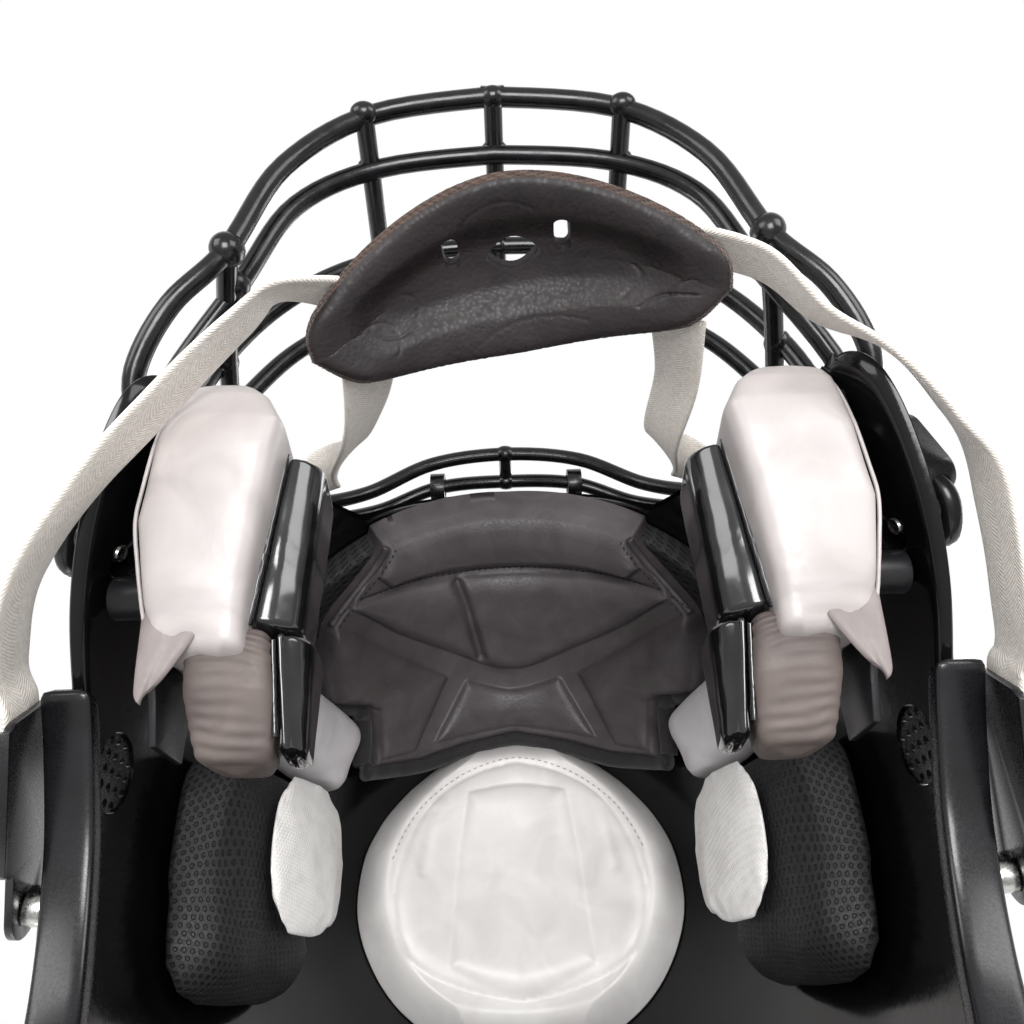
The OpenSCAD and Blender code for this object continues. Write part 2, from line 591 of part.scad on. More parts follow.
// y, the inner and outer x, lowest z, highest z and shrink of each section of the two dark lobes
cushion_upper = [[-73, 54, 62.8, -74, -46, 0.7], [-71, 53.5, 62.8, -75, -43, 0.94], [-58, 53.4, 65, -72, -38, 1],
    [-42, 54.5, 69, -66, -34, 1], [-26, 56.6, 73, -60, -34, 0.96], [-21, 58, 73.5, -58, -36, 0.72]];
cushion_lower = [[-20.6, 57, 69.6, -60, -34, 0.7], [-18, 56, 70, -60, -32, 0.94], [-8, 56.4, 69.6, -56, -30, 1],
    [0, 57.5, 69.6, -50, -30, 0.94], [3, 59, 69.6, -46, -32, 0.7]];
module dark_lobe(sections) {
    loft([for (q = sections) [for (i = [0 : 19])
        let (c = signed_pow(cos(18 * i), 0.4), s = signed_pow(sin(18 * i), 0.4), m = (q[1] + q[2]) / 2)
        [m + c * (q[2] - m) * q[5], q[0], mix(q[3], q[4], 0.5 + 0.5 * s * q[5])]]]);
}
module jaw_cushion() {
    color([0.03, 0.03, 0.03]) {
        dark_lobe(cushion_upper);
        dark_lobe(cushion_lower);
    }
}
module jaw_cushion_left() { on_side(1) jaw_cushion(); }
module jaw_cushion_right() { on_side(-1) jaw_cushion(); }

// Chin cup: u runs across it and v from under the chin up to the lip
cup_y = -94;
cup_z = -103;
cup_tilt = 18;
cup_off = 5;
function cup_point(u, v, w) =
    let (at = function (a, b) let (h = cup_h / 2 * (1 - 0.5 * pow(abs(a), 1.7)),
            bulge = cup_depth * (1 - a * a) * (1 - 0.3 * b * b))
            [cup_half_w * a * (1 - 0.2 * a * a * max(0, b)), cup_y - bulge + b * h * sin(cup_tilt),
                cup_z + 3 * a * a * (1 - b) - 5 * (1 - a * a) * max(0, b) + b * h * cos(cup_tilt)],
        n = unit(cross(at(u + 0.01, v) - at(u - 0.01, v), at(u, v + 0.01) - at(u, v - 0.01))))
    at(u, v) + n * (n[1] > 0 ? w : -w);
// The cup hangs a little askew on its straps
cup_roll = 6;
cup_yaw = -5;
module cup_turned() {
    translate([cup_off, cup_y, cup_z]) rotate([0, cup_roll, cup_yaw]) translate([0, -cup_y, -cup_z]) children();
}
// A point of the cup as the side s = 1 or -1 sees it, in that side's own +X frame
function cup_end(q, s) =
    let (x = s * q[0], z = q[2] - cup_z, y = q[1] - cup_y,
        x1 = x * cos(cup_roll) + z * sin(cup_roll), z1 = -x * sin(cup_roll) + z * cos(cup_roll))
    [s * (cup_off + x1 * cos(cup_yaw) - y * sin(cup_yaw)), cup_y + x1 * sin(cup_yaw) + y * cos(cup_yaw), cup_z + z1];
module cup_layer(w0, w1) {
    grid = function (w) [for (i = [-8 : 8]) [for (j = [-4 : 4]) cup_point(i / 8, j / 4, w)]];
    cup_turned() difference() {
        slab(grid(w1), grid(w0));
        for (s = [-1, 1]) translate([s * 15.5, cup_y - cup_depth, cup_z - 8]) rotate([90, 0, 0])
            linear_extrude(height = cut, center = true) rounded(4.4, 11, 2.1);
        translate([0, cup_y - cup_depth, cup_z - 3]) rotate([90, 0, 0])
            linear_extrude(height = cut, center = true) rounded(14, 5, 2.4);
    }
}
module chin_cup() { color([0.05, 0.05, 0.05]) cup_layer(-cup_wall, 0); }
module chin_liner() { color([0.1, 0.09, 0.09]) cup_layer(0.3, liner_t); }

// Webbing: places along its middle, then the direction of its width at each
strap_section = [[-0.5, -0.5], [0.5, -0.5], [0.5, 0.5], [-0.5, 0.5]];
// A buckle's frame: +X from the webbing to the snap stud, +Z outward
base_t = 2;
web_gap = 0.5;
low_out = [0.985, -0.03, -0.17];
low_along = [0, 0.774, 0.633];
low_at = beside(6.4, 9.5, -46);
high_out = [0.955, -0.29, 0.06];
high_along = [0.29, 0.95, 0.11];
high_at = beside(-4.4, -46, 18);
web_z = base_t + web_gap + strap_t / 2;
function axes_on(out, along) = let (z = unit(out), x = unit(along - z * (along * z))) [x, cross(z, x), z];
function web_path(out, along, at) = let (m = axes_on(out, along))
    [for (q = [[-31, web_z + 3], [-21, web_z + 0.2], [-10, web_z], [6, web_z]]) at + m[0] * q[0] + m[2] * q[1]];
low_side = axes_on(low_out, low_along)[1];
high_side = axes_on(high_out, high_along)[1];
low_route = concat([[cup_half_w + 2, -96, -105], [76, -94, -106.5], beside(-25.5, -86, -104.5),
    beside(-11, -77, -98), beside(1, -65, -87), beside(8.5, -49, -77)], web_path(low_out, low_along, low_at));
low_width = concat([[0, 0.3, 0.95], [0.1, -0.2, 0.95], [0.19, -0.75, 0.55], [0.19, -0.8, 0.45],
    [0.1, -0.75, 0.6], [0, -0.65, 0.75]], [for (i = [1 : 4]) low_side]);
high_route = concat([[cup_half_w - 13, -99, -88], [50, -101, -62], [56, -107, -30], [67, -116, -7],
    beside(-32.4, -110.2, 5), beside(-19.4, -93.4, 12)], web_path(high_out, high_along, high_at));
high_width = concat([[0.75, 0.5, -0.4], [0.6, 0.7, -0.2], [0.5, 0.8, -0.1], [0.2, 0.5, 0.85],
    [0.1, 0.1, 0.99], [0, 0, 1]], [for (i = [1 : 4]) high_side]);
// The route with its first place on the turned cup and its second carried half of the way
function from_cup(route, s) = [for (i = [0 : len(route) - 1]) let (q = route[i])
    i == 0 ? cup_end(q, s) : i == 1 ? mix(q, cup_end(q, s), 0.6) : q];
module strap(route, widths) {
    color([0.93, 0.9, 0.86]) loft(sweep_rings(spline(route, 4),
        [for (q = strap_section) [q[0] * strap_w, q[1] * strap_t]], spline(widths, 4)));
}
module low_strap_left() { on_side(1) strap(from_cup(low_route, 1), low_width); }
module low_strap_right() { on_side(-1) strap(from_cup(low_route, -1), low_width); }
module high_strap_left() { on_side(1) strap(from_cup(high_route, 1), high_width); }
module high_strap_right() { on_side(-1) strap(from_cup(high_route, -1), high_width); }

// Cam buckles, their pins along Y
cheek_t = 2.2;
barrel_r = 3.4;
pin_x = -7;
pin_z = base_t + strap_t + 2 * web_gap + barrel_r;
eye_x = 33;
module frame_on(out, along, at) {
    m = axes_on(out, along);
    multmatrix([for (a = [0 : 2]) [m[0][a], m[1][a], m[2][a], at[a]]]) children();
}
module low_frame() { frame_on(low_out, low_along, low_at) children(); }
module high_frame() { frame_on(high_out, high_along, high_at) children(); }
module buckle() {
    color([0.04, 0.04, 0.045]) difference() {
        union() {
            linear_extrude(height = base_t) {
                rounded(buckle_l, buckle_w, 4);
                translate([0, -stud_r - 3]) square([eye_x, 2 * stud_r + 6]);
                translate([eye_x, 0]) circle(r = stud_r + 3);
            }
            for (y = [-buckle_w / 2, buckle_w / 2 - cheek_t]) translate([0, y + cheek_t, 0])
                rotate([90, 0, 0]) linear_extrude(height = cheek_t)
                    polygon([[-buckle_l / 2 + 1, 0], [buckle_l / 2 - 2, 0], [buckle_l / 2 - 6, base_t + 3],
                        [pin_x + 9, pin_z + 2], [pin_x + 3, pin_z + 4], [pin_x - 4, pin_z + 4],
                        [pin_x - 10, pin_z - 1]]);
        }
        translate([pin_x, 0, pin_z]) rotate([90, 0, 0]) cylinder(r = pin_r, h = 2 * buckle_w, center = true);
        translate([eye_x, 0, -1]) cylinder(r = stud_r * 0.6, h = base_t + 2);
    }
}
lever_w = buckle_w - 2 * cheek_t - 0.8;
module lever() {
    color([0.07, 0.07, 0.075]) translate([pin_x, 0, pin_z]) rotate([90, 0, 0]) difference() {
        union() {
            cylinder(r = barrel_r, h = lever_w, center = true);
            linear_extrude(height = lever_w, center = true)
                polygon([[2.4, barrel_r - 1.1], [4, barrel_r - 0.3], [lever_l * 0.5, barrel_r - 0.6],
                    [lever_l, -1.2], [lever_l, -3], [lever_l * 0.45, -0.4], [2.6, -0.9]]);
        }
        cylinder(r = pin_r + pin_play, h = 2 * buckle_w, center = true);
    }
}
module low_buckle_left() { on_side(1) low_frame() buckle(); }
module low_buckle_right() { on_side(-1) low_frame() buckle(); }
module high_buckle_left() { on_side(1) high_frame() buckle(); }
module high_buckle_right() { on_side(-1) high_frame() buckle(); }
module low_lever_left() { on_side(1) low_frame() lever(); }
module low_lever_right() { on_side(-1) low_frame() lever(); }
module high_lever_left() { on_side(1) high_frame() lever(); }
module high_lever_right() { on_side(-1) high_frame() lever(); }
module lever_pins() {
    color([0.75, 0.75, 0.77]) both_sides() for (k = [0, 1])
        frame_on(k ? high_out : low_out, k ? high_along : low_along, k ? high_at : low_at)
            translate([pin_x, 0, pin_z]) rotate([90, 0, 0])
                cylinder(r = pin_r - 0.01, h = buckle_w + 1.6, center = true);
}
stud_gap = 0.3;
stud_depth = [5.6, 1.6];
module snap_studs() {
    color([0.7, 0.7, 0.72]) both_sides() for (k = [0, 1])
        frame_on(k ? high_out : low_out, k ? high_along : low_along, k ? high_at : low_at)
            translate([eye_x, 0, 0]) {
                translate([0, 0, -stud_depth[k]]) cylinder(r = stud_r, h = stud_depth[k] - stud_gap);
                translate([0, 0, -stud_gap]) cylinder(r = stud_r * 0.6 - 0.1, h = base_t + 1.2);
            }
}

shell();
ear_screen_left();
ear_screen_right();
side_rails();
brow_bumper();
neck_bumper();
face_guard();
upper_clip_left();
upper_clip_right();
side_clip_left();
side_clip_right();
side_receiver_left();
side_receiver_right();
release_button_left();
release_button_right();
clip_screws();
front_pad_band();
front_pad_lens();
front_pad_sides();
front_pad_centre();
crown_pad();
crown_side_pad_left();
crown_side_pad_right();
mesh_pad_left();
mesh_pad_right();
white_oval_left();
white_oval_right();
rear_pad_upper();
rear_pad_lower();
jaw_plate_left();
jaw_plate_right();
jaw_pad_left();
jaw_pad_right();
jaw_cushion_left();
jaw_cushion_right();
chin_cup();
chin_liner();
low_strap_left();
low_strap_right();
high_strap_left();
high_strap_right();
snap_studs();
low_buckle_left();
low_buckle_right();
high_buckle_left();
high_buckle_right();
low_lever_left();
low_lever_right();
high_lever_left();
high_lever_right();
lever_pins();
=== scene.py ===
import bpy, bmesh, math
import numpy as np
from mathutils import Matrix, Vector, noise


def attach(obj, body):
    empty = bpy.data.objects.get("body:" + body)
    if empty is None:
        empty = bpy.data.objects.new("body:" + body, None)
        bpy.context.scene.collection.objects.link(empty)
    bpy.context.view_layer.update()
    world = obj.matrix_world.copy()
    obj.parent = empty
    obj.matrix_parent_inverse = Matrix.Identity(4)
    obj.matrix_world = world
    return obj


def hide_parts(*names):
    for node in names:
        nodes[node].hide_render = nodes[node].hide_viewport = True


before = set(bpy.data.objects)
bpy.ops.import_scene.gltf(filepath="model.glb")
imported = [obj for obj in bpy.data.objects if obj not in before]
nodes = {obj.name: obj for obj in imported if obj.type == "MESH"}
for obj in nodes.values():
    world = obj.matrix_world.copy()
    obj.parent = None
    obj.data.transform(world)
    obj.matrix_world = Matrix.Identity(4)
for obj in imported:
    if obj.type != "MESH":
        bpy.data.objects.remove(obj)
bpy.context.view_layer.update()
scene = bpy.context.scene
print("loaded", len(nodes), "nodes")

# The camera looks up into the helmet from behind and below, turned a little on its axis
cameraSetup = {"place": (0.0, 0.060, -0.246), "lookUp": 57.2, "turn": 2.0,
               "focalPx": 760.0, "centrePx": 507.0}


def makeCamera(setup):
    data = bpy.data.cameras.new("studioCamera")
    data.sensor_width = 36.0
    data.lens = setup["focalPx"] / 1024.0 * 36.0
    data.shift_x = (512.0 - setup["centrePx"]) / 1024.0
    data.clip_start = 0.01
    camera = bpy.data.objects.new("studioCamera", data)
    scene.collection.objects.link(camera)
    tilt, turn = math.radians(setup["lookUp"]), math.radians(setup["turn"])
    forward = Vector((0.0, -math.cos(tilt), math.sin(tilt)))
    right, up = Vector((1.0, 0.0, 0.0)), Vector((0.0, -math.sin(tilt), -math.cos(tilt)))
    sideAxis = right * math.cos(turn) - up * math.sin(turn)
    upAxis = right * math.sin(turn) + up * math.cos(turn)
    turned = Matrix((sideAxis, upAxis, -forward)).transposed().to_4x4()
    camera.matrix_world = Matrix.Translation(setup["place"]) @ turned
    scene.camera = camera


makeCamera(cameraSetup)
print("camera placed")


def toLinear(hexColour):
    parts = [int(hexColour[i:i + 2], 16) / 255.0 for i in (1, 3, 5)]
    return [c / 12.92 if c <= 0.04045 else ((c + 0.055) / 1.055) ** 2.4 for c in parts] + [1.0]


def addNode(tree, kind, settings=None, sockets=None, stops=()):
    node = tree.nodes.new(kind)
    while len(stops) > len(node.color_ramp.elements if stops else ()):
        node.color_ramp.elements.new(0.5)
    for k, (position, colour) in enumerate(stops):
        node.color_ramp.elements[k].position = position
        node.color_ramp.elements[k].color = toLinear(colour)
    for name, value in (settings or {}).items():
        setattr(node, name, value)
    for name, value in (sockets or {}).items():
        socket = node.inputs[name]
        if isinstance(value, (bpy.types.NodeSocket, bpy.types.Node)):
            tree.links.new(value if isinstance(value, bpy.types.NodeSocket) else value.outputs[0], socket)
        else:
            socket.default_value = value
    return node


def startMaterial(name):
    material = bpy.data.materials.new(name)
    material.use_nodes = True
    tree = material.node_tree
    shader = tree.nodes["Principled BSDF"]
    place = addNode(tree, "ShaderNodeTexCoord").outputs["Object"]
    return material, tree, shader, place


# Lights, floor and the white ground behind the helmet
lampSetup = {
    "below": {"place": (0.04, 0.26, -1.05), "aim": (0, -0.01, 0.06), "size": 0.5, "power": 10.0},
    "belowLeft": {"place": (0.70, -0.25, -0.75), "aim": (0, -0.02, -0.02), "size": 0.55, "power": 4.5},
    "belowRight": {"place": (-0.70, -0.25, -0.75), "aim": (0, -0.02, -0.02), "size": 0.55, "power": 4.0},
    "overLeft": {"place": (1.3, -0.9, 1.5), "aim": (0, 0, 0), "size": 1.3, "power": 22.0},
    "overRight": {"place": (-1.5, -0.3, 1.1), "aim": (0, 0, 0), "size": 1.1, "power": 12.0},
    "behind": {"place": (-0.3, 1.7, 1.0), "aim": (0, 0, 0), "size": 1.0, "power": 10.0},
}


def makeLamp(name, setup):
    data = bpy.data.lights.new(name, "AREA")
    data.shape = "SQUARE"
    data.size = setup["size"]
    data.energy = setup["power"]
    lamp = bpy.data.objects.new(name, data)
    scene.collection.objects.link(lamp)
    lamp.location = setup["place"]
    aim = Vector(setup["aim"]) - Vector(setup["place"])
    lamp.rotation_euler = aim.to_track_quat("-Z", "Y").to_euler()


def makeStudio(height):
    world = bpy.data.worlds.new("paleStudio")
    scene.world = world
    world.use_nodes = True
    tree = world.node_tree
    tree.nodes.clear()
    rays = addNode(tree, "ShaderNodeLightPath")
    seen = addNode(tree, "ShaderNodeMath", {"operation": "MAXIMUM"},
                   {0: rays.outputs["Is Camera Ray"], 1: rays.outputs["Is Transmission Ray"]})
    seen = addNode(tree, "ShaderNodeMath", {"operation": "MAXIMUM"},
                   {0: seen.outputs[0], 1: rays.outputs["Is Glossy Ray"]})
    lit = addNode(tree, "ShaderNodeBackground", None, {"Color": toLinear("#F4F5F7"), "Strength": 0.55})
    shown = addNode(tree, "ShaderNodeBackground", None, {"Color": (1, 1, 1, 1), "Strength": 1.0})
    mixed = addNode(tree, "ShaderNodeMixShader", None,
                    {0: seen.outputs[0], 1: lit.outputs[0], 2: shown.outputs[0]})
    addNode(tree, "ShaderNodeOutputWorld", None, {"Surface": mixed.outputs[0]})
    material, tree, shader, place = startMaterial("paleFloor")
    shader.inputs["Base Color"].default_value = toLinear("#E6E6E6")
    shader.inputs["Roughness"].default_value = 0.7
    bm = bmesh.new()
    bmesh.ops.create_grid(bm, x_segments=2, y_segments=2, size=6.0)
    bmesh.ops.translate(bm, verts=bm.verts, vec=(0, 0, height))
    mesh = bpy.data.meshes.new("floor")
    bm.to_mesh(mesh)
    bm.free()
    mesh.materials.append(material)
    floor = bpy.data.objects.new("floor", mesh)
    scene.collection.objects.link(floor)


# the floor lies well below, so that the camera and the low lamps stand over it
floorHeight = -1.25
for lampName, lampValues in lampSetup.items():
    makeLamp(lampName, lampValues)
makeStudio(floorHeight)
scene.view_settings.view_transform = "Standard"
print("studio lit")

# Materials. Pattern sizes are in metres, so a texture's scale is 1 / size


def setFinish(tree, shader, values):
    # each value is a number, a colour or the node that drives that input of the shader
    for name, value in values.items():
        if isinstance(value, bpy.types.Node):
            tree.links.new(value.outputs[0], shader.inputs[name])
        else:
            shader.inputs[name].default_value = value


def polycarbonateGloss():
    # injection-moulded polycarbonate: deep black, wet gloss, a faint orange peel and hair scratches
    material, tree, shader, place = startMaterial("polycarbonateGloss")
    haze = addNode(tree, "ShaderNodeTexNoise", None, {"Vector": place, "Scale": 33.0, "Detail": 4.0})
    tint = addNode(tree, "ShaderNodeValToRGB", None, {"Fac": haze}, [(0.35, "#09090A"), (0.7, "#121214")])
    scratch = addNode(tree, "ShaderNodeTexNoise", None,
                      {"Vector": place, "Scale": 420.0, "Detail": 2.0, "Distortion": 3.0})
    rough = addNode(tree, "ShaderNodeMapRange", None,
                    {"Value": scratch, "From Min": 0.35, "From Max": 0.75, "To Min": 0.10, "To Max": 0.20})
    peel = addNode(tree, "ShaderNodeTexNoise", None, {"Vector": place, "Scale": 250.0, "Detail": 2.0})
    bump = addNode(tree, "ShaderNodeBump", None, {"Height": peel, "Strength": 0.05, "Distance": 0.0006})
    setFinish(tree, shader, {"Base Color": tint, "Roughness": rough,
                             "Specular IOR Level": 0.35, "Normal": bump})
    return material


def vinylWire():
    # steel wire dipped in black vinyl: gloss with slow waves where the coating ran
    material, tree, shader, place = startMaterial("vinylWire")
    wave = addNode(tree, "ShaderNodeTexNoise", None, {"Vector": place, "Scale": 160.0, "Detail": 3.0})
    tint = addNode(tree, "ShaderNodeValToRGB", None, {"Fac": wave}, [(0.3, "#0A0A0B"), (0.75, "#141417")])
    rough = addNode(tree, "ShaderNodeMapRange", None,
                    {"Value": wave, "From Min": 0.3, "From Max": 0.7, "To Min": 0.16, "To Max": 0.30})
    bump = addNode(tree, "ShaderNodeBump", None, {"Height": wave, "Strength": 0.18, "Distance": 0.0006})
    setFinish(tree, shader, {"Base Color": tint, "Roughness": rough, "IOR": 1.5, "Normal": bump})
    return material


def mouldedPlastic(name, dark, light, low, high):
    # glass-filled nylon or polypropylene: satin with a fine spark-eroded grain
    material, tree, shader, place = startMaterial(name)
    grain = addNode(tree, "ShaderNodeTexNoise", None,
                    {"Vector": place, "Scale": 1400.0, "Detail": 3.0, "Roughness": 0.6})
    patch = addNode(tree, "ShaderNodeTexNoise", None, {"Vector": place, "Scale": 80.0, "Detail": 3.0})
    tint = addNode(tree, "ShaderNodeValToRGB", None, {"Fac": patch}, [(0.3, dark), (0.75, light)])
    rough = addNode(tree, "ShaderNodeMapRange", None,
                    {"Value": grain, "From Min": 0.3, "From Max": 0.7, "To Min": low, "To Max": high})
    bump = addNode(tree, "ShaderNodeBump", None, {"Height": grain, "Strength": 0.06, "Distance": 0.0001})
    setFinish(tree, shader, {"Base Color": tint, "Roughness": rough, "IOR": 1.53, "Normal": bump})
    return material


def bumperRubber():
    # moulded rubber: matt, slightly dusty on the raised grain
    material, tree, shader, place = startMaterial("bumperRubber")
    grain = addNode(tree, "ShaderNodeTexNoise", None,
                    {"Vector": place, "Scale": 900.0, "Detail": 4.0, "Roughness": 0.65})
    dust = addNode(tree, "ShaderNodeTexNoise", None, {"Vector": place, "Scale": 50.0, "Detail": 4.0})
    tint = addNode(tree, "ShaderNodeValToRGB", None, {"Fac": dust}, [(0.35, "#121213"), (0.8, "#1E1E20")])
    rough = addNode(tree, "ShaderNodeMapRange", None,
                    {"Value": grain, "From Min": 0.3, "From Max": 0.7, "To Min": 0.55, "To Max": 0.75})
    bump = addNode(tree, "ShaderNodeBump", None, {"Height": grain, "Strength": 0.35, "Distance": 0.0003})
    setFinish(tree, shader, {"Base Color": tint, "Roughness": rough, "Normal": bump})
    return material


def nickelSteel():
    # nickel-plated steel: bright, with fine turning marks
    material, tree, shader, place = startMaterial("nickelSteel")
    mark = addNode(tree, "ShaderNodeTexNoise", None,
                   {"Vector": place, "Scale": 830.0, "Detail": 4.0, "Roughness": 0.6})
    tint = addNode(tree, "ShaderNodeValToRGB", None, {"Fac": mark}, [(0.3, "#B4B3AE"), (0.7, "#D6D5D1")])
    rough = addNode(tree, "ShaderNodeMapRange", None,
                    {"Value": mark, "From Min": 0.3, "From Max": 0.7, "To Min": 0.16, "To Max": 0.34})
    bump = addNode(tree, "ShaderNodeBump", None, {"Height": mark, "Strength": 0.12, "Distance": 0.0001})
    setFinish(tree, shader, {"Base Color": tint, "Metallic": 1.0, "Roughness": rough, "Normal": bump})
    return material


def grainedLeather(name, dark, light, low, high, grainSize, creaseDepth):
    # embossed leather or leatherette: pebbles a millimetre or so wide, creases that run across them
    material, tree, shader, place = startMaterial(name)
    bend = addNode(tree, "ShaderNodeTexNoise", None, {"Vector": place, "Scale": 60.0, "Detail": 3.0})
    moved = addNode(tree, "ShaderNodeVectorMath", {"operation": "MULTIPLY_ADD"},
                    {0: bend.outputs["Color"], 1: (0.004, 0.004, 0.004), 2: place})
    pebble = addNode(tree, "ShaderNodeTexVoronoi", {"feature": "SMOOTH_F1"},
                     {"Vector": moved, "Scale": 1.0 / grainSize, "Smoothness": 0.6})
    crease = addNode(tree, "ShaderNodeTexNoise", None,
                     {"Vector": place, "Scale": 45.0, "Detail": 5.0, "Roughness": 0.62, "Distortion": 1.4})
    tint = addNode(tree, "ShaderNodeValToRGB", None, {"Fac": crease}, [(0.32, dark), (0.72, light)])
    rough = addNode(tree, "ShaderNodeMapRange", None,
                    {"Value": pebble, "From Min": 0.1, "From Max": 0.7, "To Min": low, "To Max": high})
    creased = addNode(tree, "ShaderNodeBump", None,
                      {"Height": crease, "Strength": creaseDepth, "Distance": 0.0022})
    bump = addNode(tree, "ShaderNodeBump", None, {"Height": pebble, "Strength": 0.4,
                                                  "Distance": grainSize * 0.22, "Normal": creased})
    setFinish(tree, shader, {"Base Color": tint, "Roughness": rough, "IOR": 1.48, "Normal": bump})
    return material


def softVinyl(name, dark, light, low, high, wrinkle):
    # heat-sealed vinyl film over foam: pale, silky, finely wrinkled toward its seams
    material, tree, shader, place = startMaterial(name)
    fold = addNode(tree, "ShaderNodeTexNoise", None,
                   {"Vector": place, "Scale": 48.0, "Detail": 3.0, "Roughness": 0.5, "Distortion": 0.8})
    fine = addNode(tree, "ShaderNodeTexNoise", None, {"Vector": place, "Scale": 620.0, "Detail": 3.0})
    tint = addNode(tree, "ShaderNodeValToRGB", None, {"Fac": fold}, [(0.28, dark), (0.66, light)])
    rough = addNode(tree, "ShaderNodeMapRange", None,
                    {"Value": fine, "From Min": 0.3, "From Max": 0.7, "To Min": low, "To Max": high})
    folded = addNode(tree, "ShaderNodeBump", None, {"Height": fold, "Strength": wrinkle, "Distance": 0.0012})
    bump = addNode(tree, "ShaderNodeBump", None,
                   {"Height": fine, "Strength": 0.12, "Distance": 0.0002, "Normal": folded})
    setFinish(tree, shader, {"Base Color": tint, "Roughness": rough, "IOR": 1.5, "Normal": bump})
    return material


def wovenCloth(name, dark, light, threadSize, rough, depth, turn):
    # plain weave: crossing threads at threadSize, a little slubbed; drawn coarse enough to show
    material, tree, shader, place = startMaterial(name)
    turned = addNode(tree, "ShaderNodeMapping", None, {"Vector": place, "Rotation": (turn, turn * 0.5, turn)})
    threads = [addNode(tree, "ShaderNodeTexWave", {"bands_direction": axis},
                       {"Vector": turned, "Scale": 0.31416 / threadSize, "Distortion": 0.8, "Detail": 1.0,
                        "Detail Scale": 2.0}) for axis in ("X", "Y", "Z")]
    first = addNode(tree, "ShaderNodeMath", {"operation": "MAXIMUM"}, {0: threads[0], 1: threads[1]})
    weave = addNode(tree, "ShaderNodeMath", {"operation": "ADD"}, {0: first, 1: threads[2]})
    slub = addNode(tree, "ShaderNodeTexNoise", None, {"Vector": place, "Scale": 200.0, "Detail": 4.0})
    mixed = addNode(tree, "ShaderNodeMath", {"operation": "MULTIPLY_ADD"}, {0: weave, 1: 0.28, 2: slub})
    tint = addNode(tree, "ShaderNodeValToRGB", None, {"Fac": mixed}, [(0.42, dark), (0.95, light)])
    bump = addNode(tree, "ShaderNodeBump", None,
                   {"Height": weave, "Strength": depth, "Distance": threadSize * 0.5})
    setFinish(tree, shader, {"Base Color": tint, "Roughness": rough, "Sheen Weight": 0.2, "Normal": bump})
    return material


def ribbonWeave():
    # cream polyester webbing: herringbone ribs 1.1 mm apart that lean towards the middle, with plain edges
    material, tree, shader, place = startMaterial("herringboneWebbing")
    laid = addNode(tree, "ShaderNodeUVMap", {"uv_map": "laid"})
    parts = addNode(tree, "ShaderNodeSeparateXYZ", None, {"Vector": laid})
    lean = addNode(tree, "ShaderNodeMath", {"operation": "PINGPONG"}, {0: parts.outputs["Y"], 1: 0.0045})
    slant = addNode(tree, "ShaderNodeMath", {"operation": "ADD"}, {0: parts.outputs["X"], 1: lean})
    ribs = addNode(tree, "ShaderNodeMath", {"operation": "MULTIPLY"}, {0: slant, 1: 2 * math.pi / 0.0011})
    wave = addNode(tree, "ShaderNodeMath", {"operation": "SINE"}, {0: ribs})
    slub = addNode(tree, "ShaderNodeTexNoise", None, {"Vector": place, "Scale": 800.0, "Detail": 2.0})
    mixed = addNode(tree, "ShaderNodeMath", {"operation": "MULTIPLY_ADD"}, {0: wave, 1: 0.22, 2: slub})
    tint = addNode(tree, "ShaderNodeValToRGB", None, {"Fac": mixed}, [(0.25, "#D9CFC4"), (0.75, "#F4EFE8")])
    rough = addNode(tree, "ShaderNodeMapRange", None,
                    {"Value": slub, "From Min": 0.3, "From Max": 0.7, "To Min": 0.7, "To Max": 0.85})
    bump = addNode(tree, "ShaderNodeBump", None, {"Height": wave, "Strength": 0.35, "Distance": 0.0002})
    setFinish(tree, shader, {"Base Color": tint, "Roughness": rough, "Sheen Weight": 0.2, "Normal": bump})
    return material


def spacerMesh():
    # knitted spacer mesh: round holes in staggered rows 3.4 mm apart, in matt black yarn
    material, tree, shader, place = startMaterial("spacerMesh")
    laid = addNode(tree, "ShaderNodeUVMap", {"uv_map": "laid"})
    bend = addNode(tree, "ShaderNodeTexNoise", None, {"Vector": place, "Scale": 120.0, "Detail": 2.0})
    moved = addNode(tree, "ShaderNodeVectorMath", {"operation": "MULTIPLY_ADD"},
                    {0: bend.outputs["Color"], 1: (0.0012, 0.0012, 0.0), 2: laid})
    total = None
    for angle in (0, 60, 120):
        wide = 2 * math.pi / (0.0034 * math.cos(math.radians(30)))
        turn = math.radians(angle)
        row = addNode(tree, "ShaderNodeVectorMath", {"operation": "DOT_PRODUCT"},
                      {0: moved, 1: (wide * math.cos(turn), wide * math.sin(turn), 0)})
        wave = addNode(tree, "ShaderNodeMath", {"operation": "COSINE"}, {0: row.outputs["Value"]})
        total = wave if total is None else \
            addNode(tree, "ShaderNodeMath", {"operation": "ADD"}, {0: total, 1: wave})
    yarn = addNode(tree, "ShaderNodeTexNoise", None, {"Vector": place, "Scale": 1700.0, "Detail": 2.0})
    net = addNode(tree, "ShaderNodeMapRange", None,
                  {"Value": total, "From Min": 0.3, "From Max": 1.5, "To Min": 1.0, "To Max": 0.0})
    tint = addNode(tree, "ShaderNodeValToRGB", None, {"Fac": net}, [(0.1, "#020202"), (0.8, "#1E1D1F")])
    rough = addNode(tree, "ShaderNodeMapRange", None,
                    {"Value": yarn, "From Min": 0.3, "From Max": 0.7, "To Min": 0.5, "To Max": 0.8})
    holed = addNode(tree, "ShaderNodeBump", None, {"Height": net, "Strength": 0.9, "Distance": 0.0012})
    bump = addNode(tree, "ShaderNodeBump", None,
                   {"Height": yarn, "Strength": 0.3, "Distance": 0.0002, "Normal": holed})
    setFinish(tree, shader, {"Base Color": tint, "Roughness": rough, "Normal": bump})
    return material


